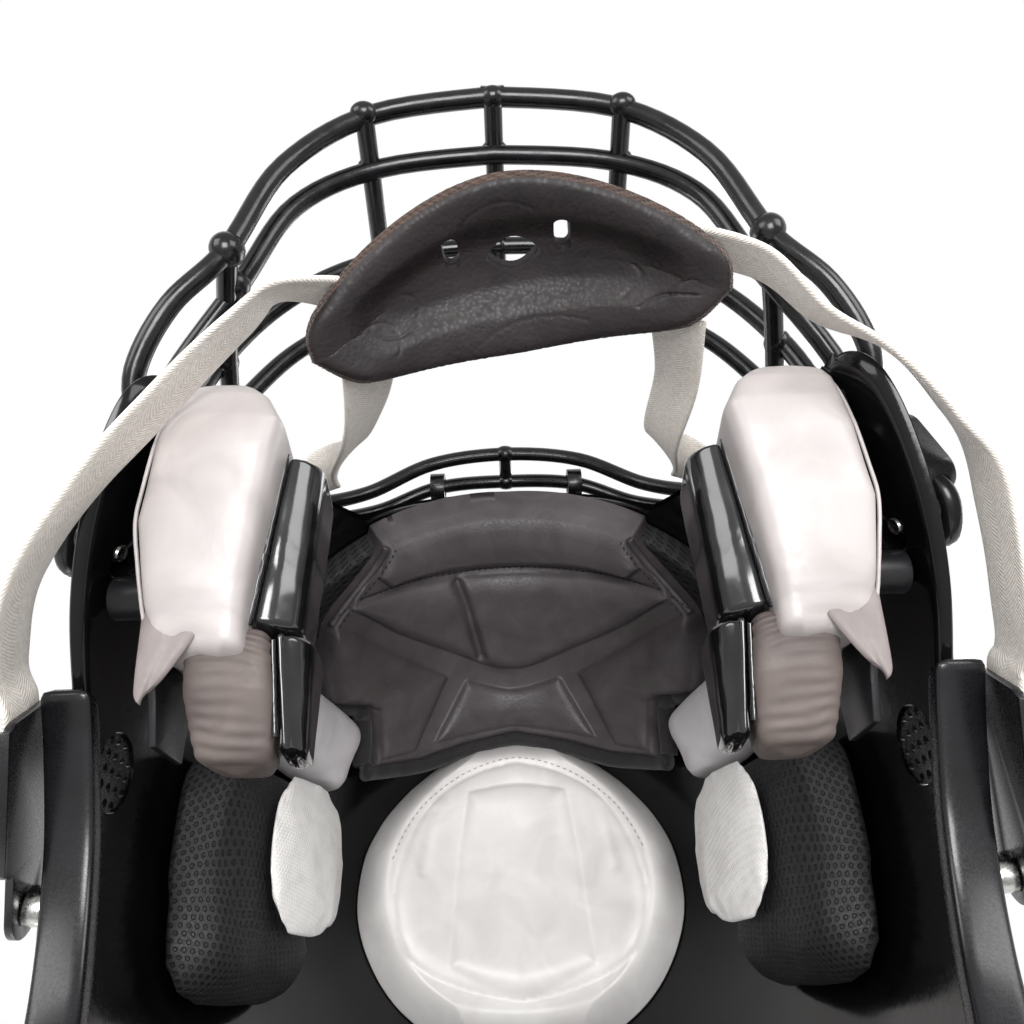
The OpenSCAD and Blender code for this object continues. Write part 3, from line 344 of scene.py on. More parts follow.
def bladderGloss():
    # blow-moulded thermoplastic bladder: black, wet gloss, soft dents
    material, tree, shader, place = startMaterial("bladderGloss")
    dent = addNode(tree, "ShaderNodeTexNoise", None,
                   {"Vector": place, "Scale": 55.0, "Detail": 3.0, "Distortion": 0.6})
    tint = addNode(tree, "ShaderNodeValToRGB", None, {"Fac": dent}, [(0.3, "#0B0B0C"), (0.7, "#161618")])
    rough = addNode(tree, "ShaderNodeMapRange", None,
                    {"Value": dent, "From Min": 0.3, "From Max": 0.7, "To Min": 0.10, "To Max": 0.20})
    bump = addNode(tree, "ShaderNodeBump", None, {"Height": dent, "Strength": 0.3, "Distance": 0.0010})
    setFinish(tree, shader, {"Base Color": tint, "Roughness": rough, "IOR": 1.6, "Coat Weight": 0.7,
                             "Coat Roughness": 0.08, "Normal": bump})
    return material


def sewingThread(name, colour):
    # bonded nylon thread, a little glossy along its twist
    material, tree, shader, place = startMaterial(name)
    twist = addNode(tree, "ShaderNodeTexNoise", None, {"Vector": place, "Scale": 2600.0, "Detail": 1.0})
    rough = addNode(tree, "ShaderNodeMapRange", None, {"Value": twist, "To Min": 0.4, "To Max": 0.7})
    setFinish(tree, shader, {"Base Color": toLinear(colour), "Roughness": rough})
    return material


finishes = {
    "shell": polycarbonateGloss(),
    "wire": vinylWire(),
    "nylon": mouldedPlastic("mouldedNylon", "#0C0C0E", "#18181B", 0.20, 0.32),
    "plate": mouldedPlastic("darkPolypropylene", "#131315", "#1F1F22", 0.26, 0.42),
    "rubber": bumperRubber(),
    "steel": nickelSteel(),
    "leatherette": grainedLeather("blackLeatherette", "#403B3C", "#524C4E", 0.36, 0.56, 0.0009, 0.10),
    "cupLeather": grainedLeather("creasedCupLeather", "#171213", "#2A2223", 0.42, 0.62, 0.0012, 0.16),
    # the flap's tuck: the jaw vinyl again, painted darker grey-brown as painted shade under the flap
    "tuck": softVinyl("shadedVinylTuck", "#776E6C", "#8E8583", 0.4, 0.6, 0.3),
    "vinyl": softVinyl("greyWhiteVinyl", "#A8A19F", "#BDB6B4", 0.28, 0.44, 0.22),
    "crownVinyl": softVinyl("whiteLeatherette", "#E4E0DE", "#F4F1EE", 0.34, 0.50, 0.18),
    # the tab lobe: the jaw vinyl again, painted darker grey-brown as painted shade of the recess it lies in
    "tabCloth": softVinyl("brushedTabCloth", "#564D4B", "#6B615C", 0.5, 0.7, 0.2),
    "padGrey": softVinyl("greyBrushedCloth", "#C6C2C4", "#DAD6D8", 0.50, 0.66, 0.16),
    "ovalCloth": wovenCloth("whiteCotton", "#DAD7D4", "#F3F0ED", 0.0010, 0.85, 0.3, 0.5),
    "mesh": spacerMesh(),
    "bladder": bladderGloss(),
    "lining": wovenCloth("blackBindingCloth", "#0C0B0B", "#232021", 0.0008, 0.75, 0.4, 0.7),
    "thread": sewingThread("blackThread", "#0B0A0A"),
    "palerThread": sewingThread("dustyPinkThread", "#B79F9C"),
    "cupEdge": wovenCloth("brownCutEdge", "#241813", "#4A382F", 0.0012, 0.9, 0.6, 0.3),
    "webbing": ribbonWeave(),
}
print("materials made:", len(finishes))

# Each CAD node that stays takes its real finish
nodeFinish = {
    "shell": "shell", "side_rails": "nylon", "brow_bumper": "rubber", "neck_bumper": "rubber",
    "face_guard": "wire", "clip_screws": "steel", "lever_pins": "steel", "snap_studs": "steel",
    "front_pad_band": "leatherette", "front_pad_lens": "leatherette", "front_pad_sides": "leatherette",
    "front_pad_centre": "leatherette", "crown_pad": "crownVinyl", "crown_side_pad": "padGrey",
    "mesh_pad": "mesh", "white_oval": "ovalCloth", "rear_pad_upper": "mesh", "rear_pad_lower": "mesh",
    "jaw_plate": "plate", "jaw_pad": "vinyl", "jaw_cushion": "bladder", "chin_cup": "cupLeather",
    "chin_liner": "cupLeather", "low_strap": "webbing", "high_strap": "webbing",
}
for nodeName, nodeObject in nodes.items():
    plainName = nodeName.replace("_left", "").replace("_right", "")
    finish = finishes[nodeFinish.get(plainName, "nylon")]
    nodeObject.data.materials.clear()
    nodeObject.data.materials.append(finish)

# Helpers that make pieces


def finishPiece(bm, name, finish, body, replaced=(), smooth=True):
    mesh = bpy.data.meshes.new(name)
    bm.to_mesh(mesh)
    bm.free()
    mesh.materials.append(finish)
    piece = bpy.data.objects.new(name, mesh)
    scene.collection.objects.link(piece)
    if smooth:
        for face in mesh.polygons:
            face.use_smooth = True
    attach(piece, body)
    if replaced:
        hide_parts(*replaced)
    return piece


def bakeModifiers(piece):
    scene.view_layers[0].update()
    graph = bpy.context.evaluated_depsgraph_get()
    baked = bpy.data.meshes.new_from_object(piece.evaluated_get(graph))
    old = piece.data
    piece.modifiers.clear()
    piece.data = baked
    bpy.data.meshes.remove(old)
    return piece


def curveAt(points, u):
    # the smooth curve through points, at u from 0 to 1 along its spans
    last = len(points) - 1
    span = min(last - 1, max(0, int(u * last)))
    t = u * last - span
    a, b, c, d = (points[max(0, min(last, span + k))] for k in (-1, 0, 1, 2))
    return [0.5 * (2 * b[i] + (c[i] - a[i]) * t + (2 * a[i] - 5 * b[i] + 4 * c[i] - d[i]) * t * t
                   + (3 * b[i] - a[i] - 3 * c[i] + d[i]) * t * t * t) for i in range(3)]


def smoothLine(points, steps):
    count = (len(points) - 1) * steps
    return [Vector(curveAt(points, k / count)) for k in range(count + 1)]


# The shell: a moulded bowl whose sections run from an oval at the crown to a fuller form at the jaw
shellShape = {"halfWidth": 0.118, "front": 0.143, "rear": 0.143, "rise": 0.148, "widest": 0.020,
              "crownPower": 2.06, "jawPower": 2.36, "sideDrop": 0.355, "neckDrop": 0.150, "wall": 0.0040,
              "brow": 0.050, "neck": -0.062, "ribs": 132, "columns": 96}
edgePlaces = [(-0.080, -0.018), (-0.075, -0.046), (-0.086, -0.075), (-0.091, -0.088), (-0.080, -0.097),
              (-0.055, -0.086), (-0.029, -0.069), (0.0, -0.045), (0.027, -0.031), (0.055, -0.030),
              (0.085, -0.044)]
browPlaces = [(0, 0), (0.027, -0.002), (0.052, -0.009), (0.074, -0.014), (0.090, -0.031), (0.099, -0.050)]


def powerAt(up):
    t = min(1.0, max(0.0, (0.12 - up) / 0.62))
    crown, jaw = shellShape["crownPower"], shellShape["jawPower"]
    return crown + (jaw - crown) * t * t * (3 - 2 * t)


def reach(direction, inset=0.0):
    d = Vector(direction).normalized()
    power, flat = powerAt(d.z), max(1e-9, math.hypot(d.x, d.y))
    back = max(0.0, d.y / flat) ** 2
    deep = shellShape["front"] if d.y < 0 else shellShape["rear"]
    tall = shellShape["rise"] if d.z > 0 else \
        shellShape["sideDrop"] + (shellShape["neckDrop"] - shellShape["sideDrop"]) * back
    total = (abs(d.x) / (shellShape["halfWidth"] - inset)) ** power \
        + (abs(d.y) / (deep - inset)) ** power + (abs(d.z) / (tall - inset)) ** power
    return total ** (-1.0 / power)


shellMiddle = Vector((0, 0, shellShape["widest"]))


def onShell(direction, inset=0.0):
    d = Vector(direction).normalized()
    return shellMiddle + d * reach(d, inset)


def sidePoint(y, z, inset=0.0):
    # the x at which the surface stands at this y and z
    low, high = 0.002, 0.14
    for _ in range(40):
        x = (low + high) / 2
        q = Vector((x, y, z)) - shellMiddle
        low, high = (x, high) if q.length < reach(q, inset) else (low, x)
    return Vector((x, y, z))


def towards(point):
    return (Vector(point) - shellMiddle).normalized()


def frontAt(x):
    power = shellShape["crownPower"]
    return -shellShape["front"] * (1 - (x / shellShape["halfWidth"]) ** power) ** (1 / power)


edgeDirections = [towards(sidePoint(y, z)) for y, z in edgePlaces] + [towards((0.062, 0.112, -0.058))]
browDirections = [towards((x, frontAt(x), shellShape["brow"] + z)) for x, z in browPlaces]
browDirections.append(edgeDirections[0])
browMiddle = towards((0, frontAt(0), shellShape["brow"]))
neckMiddle = towards((0, 0.127, shellShape["neck"]))
browAngle = math.atan2(browMiddle.z, -browMiddle.y)
neckAngle = math.pi + math.atan2(-neckMiddle.z, neckMiddle.y)


def shellDirection(t, s):
    # t runs from brow to neck, s from the right edge over the middle to the left edge
    angle = browAngle + (neckAngle - browAngle) * t
    middle = Vector((0, -math.cos(angle), math.sin(angle)))
    edge = Vector(curveAt(edgeDirections, t)).normalized()
    share = abs(s)
    arc = middle.slerp(edge, share) if share < 1 else edge
    brow = Vector(curveAt(browDirections, share))
    fade = (1 - min(1.0, t * 4)) ** 2
    d = arc.lerp(brow, fade)
    return Vector((math.copysign(d.x, s) if s else 0.0, d.y, d.z)).normalized()


def cutSlot(bm, place, along, outward, length, width, depth):
    # a bar with round ends, as a milling cutter leaves it
    across = outward.cross(along).normalized()
    turn = Matrix((along.normalized(), across, outward.normalized())).transposed().to_4x4()
    made = bmesh.ops.create_cone(bm, cap_ends=True, segments=28, radius1=width / 2, radius2=width / 2,
                                 depth=depth)
    for vertex in made["verts"]:
        vertex.co.x += math.copysign((length - width) / 2, vertex.co.x) if abs(vertex.co.x) > 1e-6 else 0
    bmesh.ops.transform(bm, matrix=Matrix.Translation(place) @ turn, verts=made["verts"])


def directionAt(azimuth, height):
    a, e = math.radians(azimuth), math.radians(height)
    return Vector((math.sin(a) * math.cos(e), -math.cos(a) * math.cos(e), math.sin(e)))


holeSetup = {"earPlace": (0.002, -0.027), "earRadius": 0.011, "ventPlaces": [(44, 49), (128, 70), (150, 38)],
             "ventLength": 0.034, "ventWidth": 0.007, "flapVent": (64, -33), "flapVentLength": 0.024}


def buildShell():
    bm = bmesh.new()
    bmesh.ops.create_grid(bm, x_segments=shellShape["ribs"], y_segments=shellShape["columns"], size=1.0)
    inside = bmesh.ops.duplicate(bm, geom=bm.verts[:] + bm.edges[:] + bm.faces[:])["geom"]
    inner = {part for part in inside if isinstance(part, bmesh.types.BMVert)}
    for vertex in bm.verts:
        t, s = (vertex.co.x + 1) / 2, vertex.co.y
        vertex.co = onShell(shellDirection(t, s), shellShape["wall"] if vertex in inner else 0.0)
    rim = [edge for edge in bm.edges if edge.is_boundary]
    bmesh.ops.bridge_loops(bm, edges=rim)
    bmesh.ops.recalc_face_normals(bm, faces=bm.faces)
    bmesh.ops.bevel(bm, geom=rim, offset=0.0015, segments=3, profile=0.5, affect="EDGES", material=-1)
    piece = finishPiece(bm, "shellBody", finishes["shell"], "helmet", ["shell"])
    bm = bmesh.new()
    for side in (1, -1):
        flip = Vector((side, 1, 1))
        ear = bmesh.ops.create_cone(bm, cap_ends=True, segments=48, radius1=holeSetup["earRadius"],
                                    radius2=holeSetup["earRadius"], depth=0.03)
        bmesh.ops.rotate(bm, verts=ear["verts"], matrix=Matrix.Rotation(math.pi / 2, 3, "Y"))
        bmesh.ops.translate(bm, verts=ear["verts"], vec=(side * 0.118, *holeSetup["earPlace"]))
        for azimuth, height in holeSetup["ventPlaces"]:
            out = directionAt(azimuth, height)
            along = Vector((math.sin(math.radians(azimuth)) * math.sin(math.radians(height)),
                            -math.cos(math.radians(azimuth)) * math.sin(math.radians(height)),
                            -math.cos(math.radians(height))))
            cutSlot(bm, onShell(out) * flip, along * flip, out * flip, holeSetup["ventLength"],
                    holeSetup["ventWidth"], 0.03)
        out = directionAt(*holeSetup["flapVent"])
        down = Vector((0, 0, -1)) - out * -out.z
        level = out.cross(down.normalized())
        along = down.normalized() * math.cos(math.radians(60)) + level * math.sin(math.radians(60))
        cutSlot(bm, onShell(out) * flip, along * flip, out * flip, holeSetup["flapVentLength"],
                holeSetup["ventWidth"], 0.03)
    bmesh.ops.recalc_face_normals(bm, faces=bm.faces)
    cutterMesh = bpy.data.meshes.new("cutters")
    bm.to_mesh(cutterMesh)
    bm.free()
    cutter = bpy.data.objects.new("cutters", cutterMesh)
    scene.collection.objects.link(cutter)
    holes = piece.modifiers.new("holes", "BOOLEAN")
    holes.operation, holes.object, holes.solver = "DIFFERENCE", cutter, "MANIFOLD"
    bakeModifiers(piece)
    bpy.data.objects.remove(cutter)
    for face in piece.data.polygons:
        face.use_smooth = True
    piece.data.set_sharp_from_angle(angle=math.radians(38))
    print("shell:", len(piece.data.polygons), "faces")
    return piece


buildShell()

# Moulded and metal pieces keep their solids' form and get broken edges
bodyOf = {"side_clip_left": "guard", "side_clip_right": "guard", "release_button_left": "button_left",
          "release_button_right": "button_right"}
for leverName in ("low_lever_left", "low_lever_right", "high_lever_left", "high_lever_right"):
    bodyOf[leverName] = leverName
edgeWidths = {"low_buckle": 0.0006, "high_buckle": 0.0006, "low_lever": 0.0005, "high_lever": 0.0005,
              "side_clip": 0.0010, "side_receiver": 0.0003, "upper_clip": 0.0006, "release_button": 0.0004,
              "jaw_plate": 0.0005, "snap_studs": 0.0003, "lever_pins": 0.0003, "clip_screws": 0.0003}


def breakEdges(nodeName, width):
    bm = bmesh.new()
    bm.from_mesh(nodes[nodeName].data)
    bmesh.ops.remove_doubles(bm, verts=bm.verts, dist=0.00001)
    bmesh.ops.dissolve_limit(bm, angle_limit=math.radians(1.5), verts=bm.verts, edges=bm.edges)
    words = nodeName.split("_")
    pieceName = words[0] + "".join(word.capitalize() for word in words[1:])
    piece = finishPiece(bm, pieceName, nodes[nodeName].data.materials[0],
                        bodyOf.get(nodeName, "helmet"), [nodeName])
    edge = piece.modifiers.new("edge", "BEVEL")
    edge.limit_method, edge.angle_limit, edge.width, edge.segments = "ANGLE", math.radians(32), width, 2
    edge.use_clamp_overlap = True
    bakeModifiers(piece)
    for face in piece.data.polygons:
        face.use_smooth = True
    piece.data.set_sharp_from_angle(angle=math.radians(30))


for nodeName in sorted(nodes):
    plainName = nodeName.replace("_left", "").replace("_right", "")
    if plainName in edgeWidths:
        breakEdges(nodeName, edgeWidths[plainName])


def sweepForm(bm, steps, around, placeAt):
    # a grid rolled into a closed form: placeAt gives the point at t along it and at an angle round it
    grid = bmesh.ops.create_grid(bm, x_segments=steps, y_segments=around, size=1.0)["verts"]
    for vertex in grid:
        vertex.co = placeAt((vertex.co.x + 1) / 2, math.pi * (vertex.co.y + 1))
    bmesh.ops.remove_doubles(bm, verts=grid, dist=0.000001)


# The side rails: rounded bars under the shell's lower edge
railShape = {"width": 0.013, "tall": 0.007, "first": 0.6, "last": 28 / 30, "inset": 0.0020, "drop": 0.0058}


def railPoint(t, angle):
    along = railShape["first"] + (railShape["last"] - railShape["first"]) * t
    edge = onShell(Vector(curveAt(edgeDirections, along)), railShape["inset"])
    middle = edge - Vector((0, 0, railShape["drop"]))
    end = min(t, 1 - t) * 0.105
    close = shoulderOf(end, 0.0032)
    c, s = math.cos(angle), math.sin(angle)
    across, up = math.copysign(abs(c) ** 0.42, c), math.copysign(abs(s) ** 0.42, s)
    return middle + Vector((across * railShape["width"] / 2 * (0.55 + 0.45 * close), 0,
                            up * railShape["tall"] / 2 * close))


def shoulderOf(distance, width):
    k = 1 - min(1.0, max(0.0, distance / width))
    return math.sqrt(1 - k * k)


rails = bmesh.new()
for sign in (1, -1):
    flip = Matrix.Diagonal((sign, 1, 1))
    sweepForm(rails, 90, 40, lambda t, angle: flip @ railPoint(t, angle))
bmesh.ops.recalc_face_normals(rails, faces=rails.faces)
finishPiece(rails, "sideRails", finishes["nylon"], "helmet", ["side_rails"])
print("small pieces finished")

# The face guard: welded wire bars, each a smooth line through its bends
guardShape = {"wireRadius": 0.0032, "beadSize": 0.0048, "loopHalf": 0.009, "loopUp": 0.0064}
sideAlong = (sidePoint(-0.050, -0.064) - sidePoint(-0.078, -0.064)).normalized()
sideOut = sideAlong.cross(sidePoint(-0.064, -0.056) - sidePoint(-0.064, -0.072)).normalized()
sideUp = sideOut.cross(sideAlong)
loopMiddle = sidePoint(-0.064, -0.064) + sideOut * guardShape["loopUp"]


def loopAt(along, up):
    return loopMiddle + sideAlong * along + sideUp * up


def addTube(bm, points, radius, sides=14):
    # a ring is set out at the start and extruded from point to point
    tangent = (points[1] - points[0]).normalized()
    turn = tangent.to_track_quat("Z", "Y").to_matrix().to_4x4()
    ring = bmesh.ops.create_circle(bm, cap_ends=True, segments=sides, radius=radius)["verts"]
    bmesh.ops.transform(bm, matrix=Matrix.Translation(points[0]) @ turn, verts=ring)
    edges = [edge for edge in ring[0].link_faces[0].edges]
    for k in range(1, len(points)):
        ahead = (points[min(len(points) - 1, k + 1)] - points[k - 1]).normalized()
        made = bmesh.ops.extrude_edge_only(bm, edges=edges)["geom"]
        ring = [part for part in made if isinstance(part, bmesh.types.BMVert)]
        edges = [part for part in made if isinstance(part, bmesh.types.BMEdge)
                 and part.verts[0] in ring and part.verts[1] in ring]
        bend = tangent.rotation_difference(ahead).to_matrix().to_4x4()
        move = Matrix.Translation(points[k]) @ bend @ Matrix.Translation(-points[k - 1])
        bmesh.ops.transform(bm, matrix=move, verts=ring)
        tangent = ahead
    bmesh.ops.contextual_create(bm, geom=edges)


def addBall(bm, place, size, stretch=(1, 1, 1)):
    made = bmesh.ops.create_uvsphere(bm, u_segments=18, v_segments=12, radius=size)["verts"]
    bmesh.ops.scale(bm, verts=made, vec=stretch)
    bmesh.ops.translate(bm, verts=made, vec=place)


def millimetres(points):
    return [tuple(c / 1000.0 for c in point) for point in points]


def wholeBar(half):
    return [(-x, y, z) for x, y, z in half[:0:-1]] + list(half)


def buildGuard():
    frontReach = -196.0
    ball = (82, -134, -97)
    loopHalf = guardShape["loopHalf"]
    browTop = millimetres([(0, -149.5, 52), (32, -145, 49), (60, -133, 49), (84, -118, 32), (100, -104, 4),
                           (109, -94, -30)]) + [loopAt(-0.019, loopHalf)]
    browLow = millimetres([(0, -156, 39), (34, -151.5, 39), (63, -135, 37), (86, -119.5, 21), (101, -104, -9),
                           (109, -94, -30)])
    noseTop = millimetres([(0, -172, -41), (45, -166, -41), (75, -148, -41), (95, -121, -40),
                           (109, -89.5, -42)])
    noseLow = millimetres([(0, -179, -60), (45, -173, -60), (76, -153, -60), (97, -123, -58)]) \
        + [loopAt(-0.019, loopHalf)]
    mouthLoop = millimetres([(-4, frontReach - 2, -106), (40, frontReach + 5, -105), (68, -168, -102), ball,
                             (97, -115, -93), (107, -98, -84)]) \
        + [loopAt(a, b) for a, b in ((-0.019, -loopHalf), (-0.008, -loopHalf), (0.004, -loopHalf),
                                     (0.0155, -loopHalf), (0.022, 0), (0.0155, loopHalf), (0.004, loopHalf),
                                     (-0.008, loopHalf), (-0.019, loopHalf))] \
        + millimetres([(106, -104, -68), (83, -137, -82), (67, -166, -89), (39, frontReach + 12, -90),
                       (-4, frontReach + 6, -90)])
    sideUpright = millimetres([ball, (90, -129, -70), (96, -119, -41), (99, -107, -5)])
    frontUprights = [millimetres([(x, -172 + lean * 0.9, -40), (x, -179 + lean * 0.9, -60),
                                  (x, frontReach + 4 + lean * 1.1, -90), (x, frontReach - 1 + lean, -106)])
                     for x, lean in ((0, 0), (43, 7))]
    radius = guardShape["wireRadius"]
    bm = bmesh.new()
    for half in (browTop, browLow, noseTop, noseLow):
        addTube(bm, smoothLine(wholeBar([tuple(p) for p in half]), 9), radius)
    addTube(bm, smoothLine(frontUprights[0], 8), radius)
    addTube(bm, smoothLine(millimetres([(0, -149.5, 52), (0, -152.8, 45.5), (0, -156, 39)]), 4),
            radius * 0.92)
    beads = millimetres([ball, (83.8, -135, -83.2), (96, -119, -41), (94, -126, -58), (109, -94, -30),
                         (99, -107, -5)])
    for side in (1, -1):
        flip = Matrix.Diagonal((side, 1, 1))
        for line, steps in ((mouthLoop, 7), (sideUpright, 9), (frontUprights[1], 8)):
            addTube(bm, [flip @ p for p in smoothLine(line, steps)], radius)
        for index, place in enumerate(beads):
            addBall(bm, flip @ Vector(place), guardShape["beadSize"] * (1.12 if index == 0 else 0.95))
    # weld fillets where the uprights meet the bars
    for line in frontUprights:
        for x, y, z in line:
            for side in (1, -1) if x else (1,):
                addBall(bm, (side * x, y, z), radius * 1.18, (1.25, 1.0, 1.0))
    addBall(bm, (0, -0.1495, 0.052), radius * 1.25, (1.3, 1, 1))
    addBall(bm, (0, -0.156, 0.039), radius * 1.25, (1.3, 1, 1))
    bmesh.ops.recalc_face_normals(bm, faces=bm.faces)
    return finishPiece(bm, "guardWires", finishes["wire"], "guard", ["face_guard"])


buildGuard()
print("guard welded")

# Padding. Each pad is copied from its solid, remeshed, blown up as cloth and pressed, then smoothed
padTypes = {
    "side": {"voxel": 0.0036, "shrink": 0.0012, "pressure": 4.0, "cap": 0.0035, "fill": 0.8},
    "mesh": {"voxel": 0.0038, "shrink": 0.0030, "pressure": 2.0, "cap": 0.0022, "fill": 0.8},
}


def startPad(nodeName, pieceName, finishName, kind):
    setup = padTypes[kind]
    bm = bmesh.new()
    bm.from_mesh(nodes[nodeName].data)
    bmesh.ops.remove_doubles(bm, verts=bm.verts, dist=0.00005)
    tall, long, slideUp, slideBack = padGrowth.get(nodeName.rsplit("_", 1)[0], (1.0, 1.0, 0.0, 0.0))
    middle = sum((v.co for v in bm.verts), Vector()) / len(bm.verts)
    out = towards(middle)
    up = (Vector((0, 0, 1)) - out * out.z).normalized()
    back = up.cross(out) * (1 if out.x > 0 else -1)
    for vertex in bm.verts:
        lean = vertex.co - middle
        depth = reach(towards(vertex.co), shellShape["wall"]) - (vertex.co - shellMiddle).length
        moved = middle + out * lean.dot(out) + up * (lean.dot(up) * tall + slideUp) \
            + back * (lean.dot(back) * long + slideBack)
        d = towards(moved)
        vertex.co = shellMiddle + d * (reach(d, shellShape["wall"]) - depth)
    piece = finishPiece(bm, pieceName, finishes[finishName], "helmet", [nodeName])
    remesh = piece.modifiers.new("remesh", "REMESH")
    remesh.mode, remesh.voxel_size = "VOXEL", setup["voxel"]
    bakeModifiers(piece)
    bm = bmesh.new()
    bm.from_mesh(piece.data)
    bmesh.ops.smooth_vert(bm, verts=bm.verts, factor=0.5, use_axis_x=True, use_axis_y=True, use_axis_z=True)
    bm.normal_update()
    for vertex in bm.verts:
        vertex.co -= vertex.normal * setup["shrink"]
    bm.to_mesh(piece.data)
    bm.free()
    return {"piece": piece, "setup": setup, "rest": [v.co.copy() for v in piece.data.vertices]}


def addCloth(pad):
    cloth = pad["piece"].modifiers.new("cloth", "CLOTH")
    values = cloth.settings
    values.quality, values.mass = 5, 0.3
    values.tension_stiffness = values.compression_stiffness = 18
    values.shear_stiffness, values.bending_stiffness = 6, 0.4
    values.use_pressure, values.uniform_pressure_force = True, pad["setup"]["pressure"]
    values.effector_weights.gravity = 0
    cloth.point_cache.frame_start, cloth.point_cache.frame_end = 1, 20


def endPad(pad, levels=1):
    piece, cap = pad["piece"], pad["setup"]["cap"]
    bakeModifiers(piece)
    for vertex, rest in zip(piece.data.vertices, pad["rest"]):
        move = vertex.co - rest
        if move.length > cap:
            vertex.co = rest + move * (cap / move.length)
    smooth = piece.modifiers.new("smooth", "SUBSURF")
    smooth.levels = smooth.render_levels = levels
    bakeModifiers(piece)
    for face in piece.data.polygons:
        face.use_smooth = True


# some pads look larger in the photograph than their plain solids: growth up and back, and a slide up and back
padGrowth = {"crown_side_pad": (1.28, 1.28, 0.002, 0.0), "white_oval": (1.20, 2.20, 0.001, 0.017),
             "mesh_pad": (1.12, 1.12, 0.0, 0.0)}
padList = [("rear_pad_upper", "rearPadUpper", "mesh", "side"),
           ("rear_pad_lower", "rearPadLower", "mesh", "side")]
for side in ("left", "right"):
    padList += [("crown_side_pad_" + side, "crownSidePad_" + side, "padGrey", "side"),
                ("mesh_pad_" + side, "meshPad_" + side, "mesh", "mesh"),
                ("white_oval_" + side, "whiteOval_" + side, "ovalCloth", "side")]
pads = {pieceName: startPad(nodeName, pieceName, finishName, kind)
        for nodeName, pieceName, finishName, kind in padList}
for pad in pads.values():
    addCloth(pad)
scene.frame_start, scene.frame_end = 1, 20
for frameNumber in range(1, 21):
    scene.frame_set(frameNumber)
for pad in pads.values():
    endPad(pad)
scene.frame_set(1)
print("pads blown up:", len(pads))


def layPattern(piece):
    # the piece's own map in metres: its face laid flat, with its sides folded out round it
    layer = piece.data.uv_layers.new(name="laid")
    places = [vertex.co for vertex in piece.data.vertices]
    middle = sum(places, Vector()) / len(places)
    out = towards(middle)
    up = (Vector((0, 0, 1)) - out * out.z).normalized()
    across = up.cross(out)
    nearest = min((place - shellMiddle).length for place in places) + 0.006
    for loop in piece.data.loops:
        place = piece.data.vertices[loop.vertex_index].co
        lean = place - middle
        flat = lean - out * lean.dot(out)
        side = max(0.0, (place - shellMiddle).length - nearest)
        flat = flat * (1 + side / max(0.004, flat.length))
        layer.data[loop.index].uv = (flat.dot(across), flat.dot(up))


for pieceName, pad in pads.items():
    if "esh" in pieceName or "rear" in pieceName:
        layPattern(pad["piece"])


# Jaw pads and air cushions: moulded lobes. A section is y, then x and z of its inner low, outer low,
# outer high and inner high corners, in millimetres on the left side
lobeSetup = {
    "jaw": {"power": 9.0, "round": 3.0, "cap": 1.2, "belly": 1.6, "sections": [
        (-88.5, (71, -87), (90.5, -86), (89, -67), (73, -67)),
        (-82, (64, -89.5), (92, -89), (89, -58), (67, -58)),
        (-74, (59.6, -90), (92.6, -90), (90, -47), (63.5, -47)),
        (-66, (61.2, -88), (94.2, -88.5), (90, -40), (65, -40)),
        (-48, (64.2, -81.5), (97.4, -82.5), (90, -34), (68, -34)),
        (-30, (67.0, -74), (95.0, -74.5), (89, -31), (72, -31)),
        (-16.5, (68.4, -67), (92.4, -67.5), (87, -31), (74, -31))]},
    "tab": {"power": 6.0, "round": 3.0, "cap": 1.2, "belly": 0.8, "sections": [
        (-24, (62.8, -66), (86.5, -66), (84, -32), (66, -32)),
        (-9, (61.4, -60.5), (86.0, -60.5), (83, -31), (65, -31)),
        (0, (61.6, -54), (84.4, -54), (82, -30), (65, -30)),
        (6.5, (62.6, -49), (83, -49), (81, -31), (66, -31))]},
    "cushion": {"power": 8.0, "round": 2.4, "cap": 0.8, "belly": 2.4, "sections": [
        (-72.5, (52.0, -68), (61.4, -75.0), (61.0, -46), (54.4, -44)),
        (-24.5, (56.0, -56.5), (68.6, -63.5), (69, -36), (58, -36))]},
    "lowCushion": {"power": 6.0, "round": 2.4, "cap": 0.8, "belly": 1.2, "sections": [
        (-25, (53.6, -54), (62.8, -62.5), (64, -36), (55, -34)),
        (5.0, (54.4, -44), (61.2, -50.5), (62, -31), (56, -31))]},
}


def lobePoint(setup, t, angle):
    cap = 0.10
    inner = min(1.0, max(0.0, (t - cap) / (1 - 2 * cap)))
    sections = setup["sections"]
    first, last = sections[0][0], sections[-1][0]
    y = first + (last - first) * (0.5 - 0.5 * math.cos(math.pi * inner))
    spread = 1.0 if cap <= t <= 1 - cap else min(t, 1 - t) / cap
    corners = [np.array([np.interp(y, [row[0] for row in sections], [row[k][axis] for row in sections])
                         for axis in (0, 1)]) for k in (1, 2, 3, 4)]
    middle = sum(corners) / 4
    c, s = math.cos(angle), math.sin(angle)
    a = math.copysign(abs(c) ** (2 / setup["power"]), c)
    b = math.copysign(abs(s) ** (2 / setup["power"]), s)
    low = corners[0] + (corners[1] - corners[0]) * (a + 1) / 2
    high = corners[3] + (corners[2] - corners[3]) * (a + 1) / 2
    place = low + (high - low) * (b + 1) / 2
    half = min(np.linalg.norm(corners[1] - corners[0]), np.linalg.norm(corners[3] - corners[0])) / 2
    inset = setup["round"] * (1 - shoulderOf(min(y - first, last - y), setup["round"]))
    place = middle + (place - middle) * spread * (1 - inset / half)
    place[1] -= setup["belly"] * (1 - a * a) * max(0.0, -b) * spread
    y += setup["cap"] * (1 - spread * spread) * (1 if t > 0.5 else -1)
    return Vector((place[0], y, place[1])) / 1000


def raise3(place, scaleX, scaleY, seed):
    return noise.noise(Vector((place.x * scaleX, place.y * scaleY, seed)))


